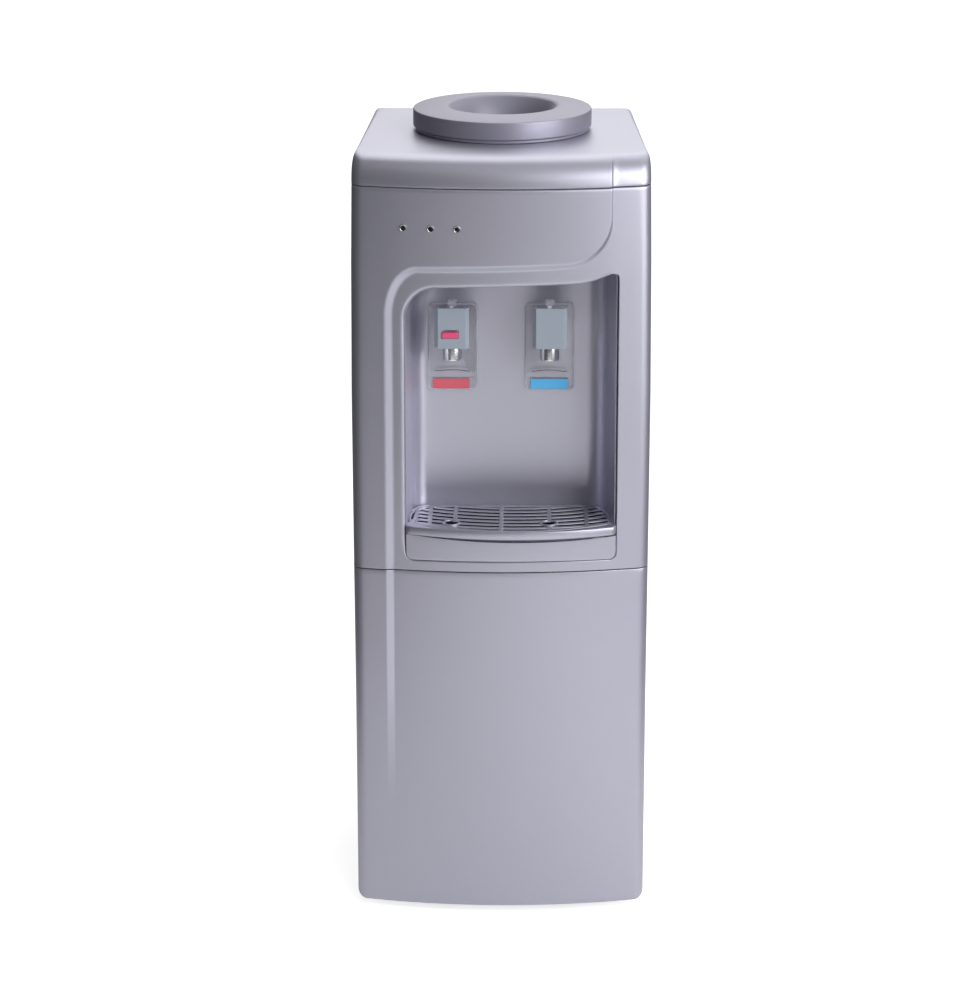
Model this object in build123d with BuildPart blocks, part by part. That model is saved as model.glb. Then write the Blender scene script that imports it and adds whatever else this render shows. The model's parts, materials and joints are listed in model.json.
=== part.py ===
"""Top-loading water dispenser: cabinet, bottle seat, cold and hot water circuits, taps and drip tray.

Millimetres, +Z up, the front faces -Y. The origin is on the floor, under the middle of the whole body.
Depths are counted from FRONT_Y, the plane of the cabinet's two front corners, towards the back.
"""
from build123d import *
import os
from math import ceil, cos, pi, radians, sin, sqrt

os.makedirs("parts", exist_ok=True)

# Cabinet
WIDTH = 310.8            # across the front, before its corners are rounded
BACK_WIDTH = 290.0       # across the back, where the sides draw in
BODY_DEPTH = 290.0       # from the front corner plane to the back panel's outer face
BOW = 21.0               # how far the middle of the front stands before its corners
CORNER_R = 14.0          # front corners in plan
FOOT_H = 11.0
SEAM_LOW = 390.4         # joint between the lower and the upper front panel
SEAM_TOP = 801.5         # joint under the top cover
TOP_Z = 831.2
SEAM = 0.8               # open joint between mouldings
WALL = 2.8               # moulded wall
SHEET = 1.0              # sheet steel
RETURN_D = 42.0          # how far the front mouldings run back along the sides
STEP = 3.5               # height of the raised field over the rest of the front
GAP = 0.3                # assembly gap
NOSE = 34.0              # how far the drip tray's lip stands before the front corner plane
CONDENSER_OUT = 28.0     # how far the condenser stands behind the back panel

FRONT_Y = -(BODY_DEPTH + CONDENSER_OUT - NOSE) / 2
BACK_Y = FRONT_Y + BODY_DEPTH
PANEL_BOTTOM = FOOT_H - 1.0
HALF = WIDTH / 2
BACK_HALF = BACK_WIDTH / 2

# Top cover
SHOULDER_D = 30.0        # depth of the rounded front shoulder
SHOULDER_S = 5.0         # how far the rounded sides lean in
COVER_HOLE_R = 80.0

# Raised field and tap recess, seen from the front
FIELD_RIGHT = 113.5
FIELD_LEFT = -122.0
FIELD_LOW = 723.0
FIELD_R = 47.0
NICHE_LEFT = -103.5
NICHE_RIGHT = 122.3
NICHE_BOTTOM = 402.0
NICHE_TOP = 698.0
NICHE_BACK_D = 72.0
NICHE_WALL = 2.5
NICHE_FLANGE = 7.0       # width of the flange behind the front panel
NICHE_R = 12.0           # upright corners between the side walls and the back wall

# Bottle seat and cold tank share one upright axis
SEAT_D = 163.7
SEAT_R = 95.5
SEAT_TOP = 857.3
RIM_R = 58.0
NECK_R = 29.5
LID_Z = 799.3
NECK_TOP = 815.0
TANK_R = 56.0
TANK_BOTTOM = 572.0
TANK_TOP = 795.0
FOAM_R = TANK_R + 18.0
FOAM_BOTTOM = 551.5
FOAM_TOP = 788.0
SHELF_Z = 550.0          # underside of the cold tank's foam, top of its shelf
SEAT_Y = FRONT_Y + SEAT_D

# Hot tank
HOT_X = -55.0
HOT_D = 170.0
HOT_R = 42.0
HOT_BOTTOM = 408.0
HOT_TOP = 515.0
HOT_FOAM_R = HOT_R + 14.0
MID_SHELF_Z = 397.0
HOT_Y = FRONT_Y + HOT_D

# Taps
TAP_X = (-51.9, 51.1)    # hot, cold
TAP_D = 44.0             # spout axis
TAP_Z = 632.0            # axis of the shank through the back wall
PIVOT_D = 33.0
PIVOT_Z = 663.4
PIN_R = 1.5
PADDLE_W = 36.0
PADDLE_D = 19.5          # front face
PADDLE_T = 2.5
PADDLE_LOW = 623.5
PADDLE_TOP = 667.0
PRESS_DEG = 12.0
SPOUT_R = 9.0
SPOUT_BOTTOM = 606.4
STEM_R = 1.8
HEAD_Z = 665.3           # underside of the stem's head
SHANK_R = 9.5
HOSE_D = 86.0            # upright hose runs behind the recess
HOSE_R = 5.5
HOSE_BORE = 3.6
BARB_R = 3.4

# Drip tray
TRAY_TOP = 440.0
LIP_H = 9.0
LIP_R = 288.0
TRAY_GAP = 0.8
TRAY_WALL = 2.2
SLOT_PITCH = 12.2
SLOT_W = 5.6
GRILLE_T = 3.0
CROSS_RIBS = (-75.4, -48.7, 0.4, 51.4, 90.8)
RING_X = (-50.4, 51.2)
RING_D = -5.0

# Refrigeration
COMP_X, COMP_D = 22.0, 165.0
TUBE_R = 2.5
COND_Z = (70.0, 560.0)
COND_ROWS = 11
COND_HALF = 112.0
COND_PLANE = BACK_Y + CONDENSER_OUT - TUBE_R - 1.6

NODES = []


def hand_in(part, name):
    """Labels a finished piece and writes it to its own file."""
    part.label = name
    export_step(part, f"parts/{name}.step")
    NODES.append(name)


def half_width(depth):
    """Half of the cabinet's width at a depth behind the front corner plane."""
    return HALF + (BACK_HALF - HALF) * depth / BODY_DEPTH


def plan_face(z, shift=0.0, inset=0.0, draw_in=0.0, corner=CORNER_R):
    """Plan of the cabinet at height z: bowed front moved back by shift, sides moved in by draw_in."""
    half, back = HALF - draw_in, BACK_HALF - draw_in
    front = FRONT_Y + shift
    with BuildSketch(Plane.XY.offset(z)) as plan:
        with BuildLine():
            ThreePointArc((-half, front), (0, front - BOW), (half, front))
            Polyline((half, front), (back, BACK_Y), (-back, BACK_Y), (-half, front))
        make_face()
        fillet(plan.vertices().sort_by(Axis.Y)[:2], corner)
        if inset:
            offset(amount=-inset)
    return plan.sketch


def depth_box(near, far, low, high, left=-200.0, right=200.0):
    """A block between two depths, two heights and two widths, for trimming."""
    block = Box(abs(right - left), far - near, high - low, mode=Mode.PRIVATE)
    return Pos((left + right) / 2, FRONT_Y + (near + far) / 2, (low + high) / 2) * block


def field_face():
    """Front view of the raised field: down the left side, round the recess and up at the right."""
    low_left, low_right = FIELD_LOW - 6.0, FIELD_LOW
    with BuildSketch(Plane.XZ) as field:
        with BuildLine():
            Line((FIELD_RIGHT, SEAM_TOP + 60), (FIELD_RIGHT, low_right + FIELD_R))
            RadiusArc((FIELD_RIGHT, low_right + FIELD_R), (FIELD_RIGHT - FIELD_R, low_right), FIELD_R)
            Line((FIELD_RIGHT - FIELD_R, low_right), (FIELD_LEFT + 34, low_left))
            EllipticalCenterArc((FIELD_LEFT + 34, low_left - 55), 34, 55, start_angle=90, arc_size=90)
            Line((FIELD_LEFT, low_left - 55), (FIELD_LEFT, PANEL_BOTTOM - 60))
            Line((FIELD_LEFT, PANEL_BOTTOM - 60), (-HALF - 40, PANEL_BOTTOM - 60))
            Line((-HALF - 40, PANEL_BOTTOM - 60), (-HALF - 40, SEAM_TOP + 60))
            Line((-HALF - 40, SEAM_TOP + 60), (FIELD_RIGHT, SEAM_TOP + 60))
        make_face()
    return field.sketch


def niche_face(inset=0.0):
    """Front view of the tap recess, with its top edge sweeping up at the right."""
    with BuildSketch(Plane.XZ) as opening:
        with BuildLine():
            Line((NICHE_LEFT, NICHE_BOTTOM), (NICHE_LEFT, NICHE_TOP - 34))
            RadiusArc((NICHE_LEFT, NICHE_TOP - 34), (NICHE_LEFT + 34, NICHE_TOP), 34)
            Line((NICHE_LEFT + 34, NICHE_TOP), (70, NICHE_TOP + 4))
            ThreePointArc((70, NICHE_TOP + 4), (93, NICHE_TOP + 7.0), (114, NICHE_TOP + 14))
            Line((114, NICHE_TOP + 14), (NICHE_RIGHT, NICHE_TOP + 14))
            Line((NICHE_RIGHT, NICHE_TOP + 14), (NICHE_RIGHT, NICHE_BOTTOM))
            Line((NICHE_RIGHT, NICHE_BOTTOM), (NICHE_LEFT, NICHE_BOTTOM))
        make_face()
        fillet(opening.vertices().group_by(Axis.Y)[0], 8.0)
        fillet(opening.vertices().sort_by(Axis.Y)[-2:].sort_by(Axis.X)[-1], 4.0)
        if inset:
            offset(amount=-inset)
    return opening.sketch


def recess_plan(z, inset=0.0, front=-40.0):
    """Plan of the tap recess: side walls drawing in towards two large upright corners."""
    near, far = FRONT_Y + front, FRONT_Y + NICHE_BACK_D
    slope = 8.5 / 60
    with BuildSketch(Plane.XY.offset(z)) as recess:
        with BuildLine():
            Polyline(
                (NICHE_LEFT, near),
                (NICHE_LEFT, FRONT_Y - 15),
                (NICHE_LEFT + slope * (15 + NICHE_BACK_D), far),
                (NICHE_RIGHT - slope * (15 + NICHE_BACK_D), far),
                (NICHE_RIGHT, FRONT_Y - 15),
                (NICHE_RIGHT, near),
                close=True,
            )
        make_face()
        fillet(recess.vertices().group_by(Axis.Y)[-1], NICHE_R)
        if inset:
            offset(amount=-inset)
    return recess.sketch


def round_bar(start, end, radius):
    """A plain round bar between two points."""
    a, b = Vector(*start), Vector(*end)
    with BuildPart() as bar:
        with BuildSketch(Plane(origin=a, z_dir=b - a)):
            Circle(radius)
        extrude(amount=(b - a).length)
    return bar.part


def pipe(points, bends, radius, bore=0.0):
    """A tube along straight runs joined by tangent arcs, with its volume checked against its length."""
    with BuildLine() as route:
        FilletPolyline(*points, radius=bends)
    path = route.wires()[0]
    plane = Plane(origin=path @ 0, z_dir=path % 0)
    with BuildPart() as tube:
        with BuildSketch(plane) as section:
            Circle(radius)
            if bore:
                Circle(bore, mode=Mode.SUBTRACT)
        sweep(path=path)
    ideal = pi * (radius**2 - bore**2) * path.length
    print(f"tube {path.length:.1f} mm long, volume {tube.part.volume / ideal:.4f} of its section times its length")
    return tube.part


def revolved(points, x=0.0, depth=SEAT_D):
    """A closed profile of (radius, height) points turned about an upright axis."""
    with BuildPart() as turned:
        with BuildSketch(Plane.XZ):
            with BuildLine():
                Polyline(*points, close=True)
            make_face()
        revolve(axis=Axis.Z)
    return Pos(x, FRONT_Y + depth, 0) * turned.part


def moulding(low, high, shift=0.0, inset=0.0, bottom_r=0.0):
    """A block with the cabinet's plan between two heights, its lower corners rounded as seen from the front."""
    with BuildPart() as block:
        extrude(plan_face(low, shift, inset), amount=high - low)
        if bottom_r:
            with BuildSketch(Plane.XZ):
                with Locations((0, (low + high + 60) / 2)):
                    RectangleRounded(WIDTH - 2 * inset, high - low + 60, bottom_r - inset)
            extrude(amount=300, both=True, mode=Mode.INTERSECT)
    return block.part


def through(face):
    """A front-view face carried through the whole depth of the cabinet."""
    return extrude(face, amount=300, both=True, mode=Mode.PRIVATE)


def cover_block(shift=0.0, inset=0.0):
    """The top cover's form: sections of the plan that draw in as they rise round the shoulder."""
    base = SEAM_TOP + SEAM / 2 - (1 if inset else 0)
    rise = TOP_Z - inset - base
    with BuildPart() as block:
        sections = []
        for angle in (0, 35, 65, 90):
            lean = 1 - cos(radians(angle))
            z = base + rise * sin(radians(angle))
            sections.append(plan_face(z, shift + SHOULDER_D * lean, inset, SHOULDER_S * lean))
        loft(sections)
    return block.part


def fading_block(low, high, top):
    """The raised front, which sinks into the lower one between two heights."""
    with BuildPart() as block:
        extrude(plan_face(high), amount=top - high)
        loft([plan_face(low, STEP), plan_face(high)])
    return block.part


def recess_block(grow=0.0):
    """The space inside the tap recess, or its outside where grow is the wall's thickness."""
    with BuildPart() as block:
        extrude(recess_plan(NICHE_BOTTOM - 40, -grow), amount=NICHE_TOP - NICHE_BOTTOM + 80)
        add(through(niche_face(-grow)), mode=Mode.INTERSECT)
    return block.part


# Lower front panel
panel_low, panel_high = PANEL_BOTTOM, SEAM_LOW - SEAM / 2
fade_low, fade_high = 80.0, 300.0
field = field_face()
with BuildPart() as lower_front_panel:
    add(moulding(panel_low, panel_high, STEP, 0, 10))
    add(fading_block(fade_low, fade_high, panel_high) & through(field))
    add(moulding(panel_low + WALL, panel_high - WALL, STEP, WALL, 10), mode=Mode.SUBTRACT)
    add(depth_box(-60, RETURN_D, 0, 900), mode=Mode.INTERSECT)
hand_in(lower_front_panel.part, "lower_front_panel")

# Upper front panel
upper_low, upper_high = SEAM_LOW + SEAM / 2, SEAM_TOP - SEAM / 2
LAMP_X = (-101.1, -72.6, -45.3)
LAMP_Z = 759.5
LAMP_R = 2.9
with BuildPart() as front_upper_panel:
    add(moulding(upper_low, upper_high, STEP))
    add(moulding(upper_low, upper_high) & through(field))
    add(moulding(upper_low + WALL, upper_high - WALL, STEP, WALL), mode=Mode.SUBTRACT)
    add(through(niche_face()), mode=Mode.SUBTRACT)
    with Locations(*[(x, FRONT_Y, LAMP_Z) for x in LAMP_X]):
        Cylinder(LAMP_R, 80, rotation=(90, 0, 0), mode=Mode.SUBTRACT)
    add(depth_box(-60, RETURN_D, 0, 900), mode=Mode.INTERSECT)
hand_in(front_upper_panel.part, "front_upper_panel")

# Tap recess
behind_front = moulding(370, 750, STEP, WALL + GAP)
with BuildPart() as tap_niche:
    add(recess_block(NICHE_WALL) & behind_front)
    flange = through(niche_face(-NICHE_FLANGE)) & behind_front & depth_box(-60, 10, 370, 750)
    add(flange - moulding(360, 760, STEP, WALL + GAP + NICHE_WALL))
    add(recess_block(), mode=Mode.SUBTRACT)
    with Locations(*[(x, FRONT_Y + NICHE_BACK_D, TAP_Z) for x in TAP_X]):
        Cylinder(SHANK_R + GAP, 20, rotation=(90, 0, 0), mode=Mode.SUBTRACT)
hand_in(tap_niche.part, "tap_niche")

# Top cover
with BuildPart() as top_cover:
    add(cover_block() & depth_box(-60, 300, 780, 850, -200, FIELD_RIGHT))
    add(cover_block(STEP) & depth_box(-60, 300, 780, 850, FIELD_RIGHT, 200))
    add(cover_block(STEP, WALL), mode=Mode.SUBTRACT)
    with Locations((0, SEAT_Y, TOP_Z)):
        Cylinder(COVER_HOLE_R, 80, mode=Mode.SUBTRACT)
hand_in(top_cover.part, "top_cover")


# Side panels: flat sheet with flanges folded in along the front, back and bottom
PAN_Z = PANEL_BOTTOM + WALL + GAP
PAN_T = 1.2
PAN_EDGE = 16.0
SCREW_X = BACK_HALF - 7.0
SCREW_Z = (60.0, 300.0, 540.0, 780.0)
SCREW_R = 1.6


def side_panel(side):
    """One sheet side of the cabinet, -1 for left and 1 for right."""
    low, high, fold = PANEL_BOTTOM, SEAM_TOP - 1.0, 14.0
    near, far = RETURN_D + GAP, BODY_DEPTH - SHEET
    with BuildPart() as panel:
        outer, inner = plan_face(low), plan_face(low, 0, SHEET)
        extrude(outer - inner, amount=high - low)
        add(depth_box(near, far, low, high, 60 * side, 200 * side), mode=Mode.INTERSECT)
        edge = half_width(far) - fold
        for front, back, bottom, top in (
            (near, near + SHEET, PAN_Z + PAN_EDGE + SHEET, high),
            (far - SHEET, far, PAN_Z + PAN_EDGE + SHEET, high),
            (near, far, PAN_Z - SHEET, PAN_Z),
        ):
            strip = depth_box(front, back, bottom, top, side * edge, side * 200)
            add(strip & extrude(outer, amount=high - low, mode=Mode.PRIVATE))
        for z in SCREW_Z:
            with Locations((side * SCREW_X, BACK_Y, z)):
                Cylinder(SCREW_R + 0.1, 12, rotation=(90, 0, 0), mode=Mode.SUBTRACT)
    return panel.part


hand_in(side_panel(-1), "left_side_panel")
hand_in(side_panel(1), "right_side_panel")

# Base pan with upturned edges
FEET = [(x, FRONT_Y + d) for d in (62.0, 262.0) for x in (-116.0, 116.0)]
FOOT_PLUG_R = 4.0
COMP_FEET = [(COMP_X + x, FRONT_Y + COMP_D + y) for x in (-58.0, 58.0) for y in (-38.0, 38.0)]
BOLT_R = 3.0
with BuildPart() as base_pan:
    add(moulding(PAN_Z, PAN_Z + PAN_EDGE, STEP, WALL + GAP, 10))
    add(moulding(PAN_Z + PAN_T, PAN_Z + PAN_EDGE + 1, STEP, WALL + GAP + PAN_T, 10), mode=Mode.SUBTRACT)
    add(depth_box(4, BODY_DEPTH - SHEET - GAP, 0, 60), mode=Mode.INTERSECT)
    with Locations(*[(x, y, PAN_Z) for x, y in FEET]):
        Cylinder(FOOT_PLUG_R + GAP, 20, mode=Mode.SUBTRACT)
    with Locations(*[(x, y, PAN_Z) for x, y in COMP_FEET]):
        Cylinder(BOLT_R + GAP, 20, mode=Mode.SUBTRACT)
hand_in(base_pan.part, "base_pan")

# Feet: rubber pads pushed into the base pan
with BuildPart() as feet:
    with BuildSketch(Plane.XZ):
        with BuildLine():
            Polyline(
                (0, 0), (13, 0), (15, 2), (13.5, PAN_Z), (FOOT_PLUG_R, PAN_Z),
                (FOOT_PLUG_R, PAN_Z + 6), (0, PAN_Z + 7), close=True,
            )
        make_face()
    revolve(axis=Axis.Z)
foot = feet.part
with BuildPart() as foot_set:
    for x, y in FEET:
        add(Pos(x, y, 0) * foot)
hand_in(foot_set.part, "feet")


# Back panel: vents, switch openings, drain and cord holes
SWITCH_X = (-104.0, -76.0)
SWITCH_Z = 706.0
SWITCH_W, SWITCH_H = 13.0, 19.4
DRAIN_X, DRAIN_Z = HOT_X, 44.0
DRAIN_R = 7.0
GLAND_X, GLAND_Z = -96.0, 44.0
GLAND_R = 6.0
PIPE_D = BODY_DEPTH - 11.0  # upright refrigerant pipes run between the shelves and the back panel
back_low, back_high = PANEL_BOTTOM, SEAM_TOP - 1.0
with BuildPart() as back_panel:
    add(depth_box(BODY_DEPTH - SHEET, BODY_DEPTH, back_low, back_high, -BACK_HALF + GAP, BACK_HALF - GAP))
    vents = [(x, z) for x in (-35.0, 35.0) for z in range(625, 780, 14)]
    vents += [(x, z) for x in (8.0, 78.0) for z in (24.0, 36.0, 48.0, 60.0)]
    with BuildSketch(Plane.XZ.offset(-BACK_Y)):
        with Locations(*vents):
            SlotOverall(56, 4.6)
    extrude(amount=4, both=True, mode=Mode.SUBTRACT)
    with BuildSketch(Plane.XZ.offset(-BACK_Y)):
        with Locations(*[(x, SWITCH_Z) for x in SWITCH_X]):
            Rectangle(SWITCH_W, SWITCH_H)
        for x, z, r in (
            (DRAIN_X, DRAIN_Z, DRAIN_R + GAP), (GLAND_X, GLAND_Z, GLAND_R + GAP),
            (COND_HALF, COND_Z[1], TUBE_R + 2), (-COND_HALF, COND_Z[0], TUBE_R + 2),
            *[(side * SCREW_X, z, SCREW_R + 0.1) for side in (-1, 1) for z in SCREW_Z],
        ):
            with Locations((x, z)):
                Circle(r)
    extrude(amount=4, both=True, mode=Mode.SUBTRACT)
hand_in(back_panel.part, "back_panel")


def shelf(z, near, holes):
    """A sheet shelf between the side panels, with its side edges folded down."""
    low = z - 14
    with BuildPart() as plate:
        plan = plan_face(low, 0, SHEET + GAP)
        extrude(plan, amount=14)
        extrude(offset(plan, amount=-PAN_T, mode=Mode.PRIVATE), amount=14 - PAN_T, mode=Mode.SUBTRACT)
        add(depth_box(near, BODY_DEPTH - SHEET - 16, low, z), mode=Mode.INTERSECT)
        for x, depth, r in holes:
            with Locations((x, FRONT_Y + depth, z)):
                Cylinder(r, 40, mode=Mode.SUBTRACT)
    return plate.part


# Cold outlet and feed line leave the cold tank through its floor
COLD_OUT = (34.0, 140.0)
FEED = (30.0, HOT_D)
STUB_R = BARB_R
STUB_LOW = 532.0
DRAIN_HOSE_D = 246.0
hand_in(shelf(SHELF_Z, 98, [(*COLD_OUT, 9), (*FEED, 9), (TAP_X[0], 100, 15)]), "tank_shelf")
hand_in(shelf(MID_SHELF_Z, 98, [(DRAIN_X, DRAIN_HOSE_D, HOSE_R + 1)]), "mid_shelf")

# Cold tank: open stainless vessel with a rolled rim and two outlets in its floor
with BuildPart() as cold_tank:
    add(revolved([
        (0, TANK_BOTTOM), (TANK_R - 6, TANK_BOTTOM), (TANK_R, TANK_BOTTOM + 6), (TANK_R, TANK_TOP - 1),
        (TANK_R + 5, TANK_TOP - 1), (TANK_R + 5, TANK_TOP), (TANK_R - 1, TANK_TOP),
        (TANK_R - 1, TANK_BOTTOM + 6.5), (TANK_R - 6.5, TANK_BOTTOM + 1), (0, TANK_BOTTOM + 1),
    ]))
    for x, depth in (COLD_OUT, FEED):
        with Locations((x, FRONT_Y + depth, TANK_BOTTOM + 1)):
            Cylinder(STUB_R, TANK_BOTTOM + 1 - STUB_LOW, align=(Align.CENTER, Align.CENTER, Align.MAX))
    for x, depth in (COLD_OUT, FEED):
        with Locations((x, FRONT_Y + depth, TANK_BOTTOM)):
            Cylinder(STUB_R - 1, 90, mode=Mode.SUBTRACT)
hand_in(cold_tank.part, "cold_tank")

# Foam shell round the cold tank, with room for the evaporator in its wall
COIL_R = TANK_R + TUBE_R + GAP
COIL_LOW = 598.0
COIL_PITCH = 16.0
COIL_TURNS = 6.5
COIL_HIGH = COIL_LOW + COIL_PITCH * COIL_TURNS
TAIL_D = 60.0            # how far each end of the coil runs straight back


def on_helix(turn, radius, low, pitch, y=0.0, start=0.0):
    """A point of an upright helix after so many turns, and its direction there."""
    angle = start + 2 * pi * turn
    point = Vector(radius * cos(angle), y + radius * sin(angle), low + pitch * turn)
    return point, Vector(-radius * sin(angle), radius * cos(angle), pitch / (2 * pi)).normalized()


def biarc(start, start_dir, end, end_dir):
    """The point where two arcs meet that join two points along given directions with equal arms."""
    chord, both = end - start, start_dir + end_dir
    a = both.dot(both) - 4
    b = -2 * chord.dot(both)
    c = chord.dot(chord)
    arm = (-b - sqrt(b * b - 4 * a * c)) / (2 * a)
    return (start + start_dir * arm + end - end_dir * arm) / 2


def wind(turns, *helix):
    """Draws a helix in the line being built: each quarter turn is two arcs that share their tangents."""
    for quarter in range(round(turns * 4)):
        start, start_dir = on_helix(quarter / 4, *helix)
        end, end_dir = on_helix((quarter + 1) / 4, *helix)
        middle = biarc(start, start_dir, end, end_dir)
        first = TangentArc(start, middle, tangent=start_dir)
        TangentArc(middle, end, tangent=first % 1)


def least_gap(path, turns, radius):
    """Least space between neighbouring turns of a wound tube, measured on 24 points a turn."""
    count = ceil(turns * 24)
    points = [path @ (i / count) for i in range(count + 1)]
    pairs = ((a, b) for i, a in enumerate(points) for b in points[i + 12:])
    return min((b - a).length for a, b in pairs) - 2 * radius


COIL = (COIL_R, COIL_LOW, COIL_PITCH, SEAT_Y, pi)
coil_start, start_way = on_helix(0, *COIL)
coil_end, end_way = on_helix(COIL_TURNS, *COIL)
TAIL_LOW = coil_start - start_way * TAIL_D
TAIL_HIGH = coil_end + end_way * TAIL_D
with BuildPart() as cold_tank_insulation:
    add(revolved([
        (0, FOAM_BOTTOM - 1.5), (FOAM_R - 4, FOAM_BOTTOM - 1.5), (FOAM_R, FOAM_BOTTOM + 3), (FOAM_R, FOAM_TOP),
        (TANK_R + GAP, FOAM_TOP), (TANK_R + GAP, COIL_HIGH + 12), (COIL_R + TUBE_R + GAP, COIL_HIGH + 6),
        (COIL_R + TUBE_R + GAP, COIL_LOW - 8), (TANK_R + GAP, COIL_LOW - 12),
        (TANK_R + GAP, TANK_BOTTOM - GAP), (0, TANK_BOTTOM - GAP),
    ]))
    for x, depth in (COLD_OUT, FEED):
        with Locations((x, FRONT_Y + depth, TANK_BOTTOM)):
            Cylinder(STUB_R + GAP, 90, mode=Mode.SUBTRACT)
    add(round_bar(coil_start, TAIL_LOW, TUBE_R + 1), mode=Mode.SUBTRACT)
    add(round_bar(coil_end, TAIL_HIGH, TUBE_R + 1), mode=Mode.SUBTRACT)
hand_in(cold_tank_insulation.part, "cold_tank_insulation")

# Evaporator: one tube wound on the cold tank from its left side upwards
with BuildPart() as evaporator_coil:
    with BuildLine() as winding:
        Line(TAIL_LOW, coil_start)
        wind(COIL_TURNS, *COIL)
        Line(coil_end, TAIL_HIGH)
    coil_path = winding.wires()[0]
    with BuildSketch(Plane(origin=coil_path @ 0, z_dir=coil_path % 0)):
        Circle(TUBE_R)
    sweep(path=coil_path)
print(f"coil {coil_path.length:.0f} mm long, least gap {least_gap(coil_path, COIL_TURNS + 0.35, TUBE_R):.1f} mm")
hand_in(evaporator_coil.part, "evaporator_coil")

# Baffle: a dished disc on three legs that keeps incoming water off the chilled water
BAFFLE_Z = 690.0
with BuildPart() as tank_baffle:
    add(revolved([
        (0, BAFFLE_Z + 4), (30, BAFFLE_Z + 4), (TANK_R - 3, BAFFLE_Z), (TANK_R - 3, BAFFLE_Z - 1.5),
        (30, BAFFLE_Z + 2.5), (0, BAFFLE_Z + 2.5),
    ]))
    with Locations((0, SEAT_Y, TANK_BOTTOM + 1)):
        with PolarLocations(38, 3, start_angle=90):
            leg = BAFFLE_Z + 2 - TANK_BOTTOM - 1
            Box(2, 8, leg, align=(Align.CENTER, Align.CENTER, Align.MIN))
    with Locations((0, SEAT_Y, BAFFLE_Z)):
        with PolarLocations(44, 6, start_angle=30):
            Cylinder(3, 20, mode=Mode.SUBTRACT)
hand_in(tank_baffle.part, "tank_baffle")

# Gasket between the tank's rim and the bottle seat
with BuildPart() as seat_gasket:
    add(revolved([
        (TANK_R - 3, TANK_TOP), (TANK_R + 5, TANK_TOP), (TANK_R + 5, LID_Z - GAP), (TANK_R + 1, LID_Z - GAP),
        (TANK_R + 1, LID_Z - 1.5), (TANK_R - 1, LID_Z - 1.5), (TANK_R - 1, LID_Z - GAP), (TANK_R - 3, LID_Z - GAP),
    ]))
hand_in(seat_gasket.part, "seat_gasket")

# Bottle seat: dished ring, funnel, bottle neck and tank lid in one moulding, ribbed underneath
SEAT_T = 3.0
CREASE_Z = SEAT_TOP - 3.0
SKIRT_Z = TOP_Z + GAP
with BuildPart() as bottle_seat:
    add(revolved([
        (NECK_R, LID_Z), (NECK_R, NECK_TOP), (NECK_R + 2.5, NECK_TOP + 3), (RIM_R - 3, SEAT_TOP - 2.2),
        (RIM_R, SEAT_TOP), (SEAT_R - 1.5, CREASE_Z), (SEAT_R, CREASE_Z - 1.5), (SEAT_R, 838), (SEAT_R - 2.5, 837.2),
        (SEAT_R - 2.5, SKIRT_Z), (SEAT_R - 2.5 - SEAT_T, SKIRT_Z), (SEAT_R - 2.5 - SEAT_T, 837),
        (SEAT_R - SEAT_T, 839.5), (SEAT_R - SEAT_T, CREASE_Z - SEAT_T), (RIM_R + 1, SEAT_TOP - SEAT_T - 0.5),
        (NECK_R + 6, NECK_TOP + 2), (NECK_R + SEAT_T, NECK_TOP - 2), (NECK_R + SEAT_T, LID_Z + SEAT_T),
        (TANK_R + 5, LID_Z + SEAT_T), (TANK_R + 5, LID_Z),
    ]))
seat_form = bottle_seat.part
rib_profile = [
    (NECK_R + 4, NECK_TOP - 1), (RIM_R, SEAT_TOP - 4.5), (SEAT_R - SEAT_T - 0.5, CREASE_Z - SEAT_T - 0.5),
    (SEAT_R - SEAT_T - 0.5, 841), (RIM_R + 6, 836), (NECK_R + 8, NECK_TOP - 1),
]
with BuildPart() as seat_rib:
    with BuildSketch(Plane.XZ):
        with BuildLine():
            Polyline(*rib_profile, close=True)
        make_face()
    extrude(amount=1, both=True)
with BuildPart() as ribbed_seat:
    add(seat_form)
    for turn in range(8):
        add(Pos(0, SEAT_Y, 0) * Rot(0, 0, 22.5 + 45 * turn) * seat_rib.part)
hand_in(ribbed_seat.part, "bottle_seat")

# Bottle probe: perforated disc under the lid with an upright feed post
PROBE_TIP = LID_Z - 1.0
with BuildPart() as bottle_probe:
    add(revolved([
        (0, 752), (5, 756), (8, 770), (8, 790), (44, 791.5), (44, LID_Z - GAP), (41.5, LID_Z - GAP),
        (41.5, 793.5), (8, 793), (7, PROBE_TIP - 1.5), (5, PROBE_TIP), (0, PROBE_TIP),
    ]))
    with Locations((0, SEAT_Y, 792)):
        with PolarLocations(25, 8):
            Cylinder(6.5, 12, mode=Mode.SUBTRACT)
hand_in(bottle_probe.part, "bottle_probe")


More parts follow.
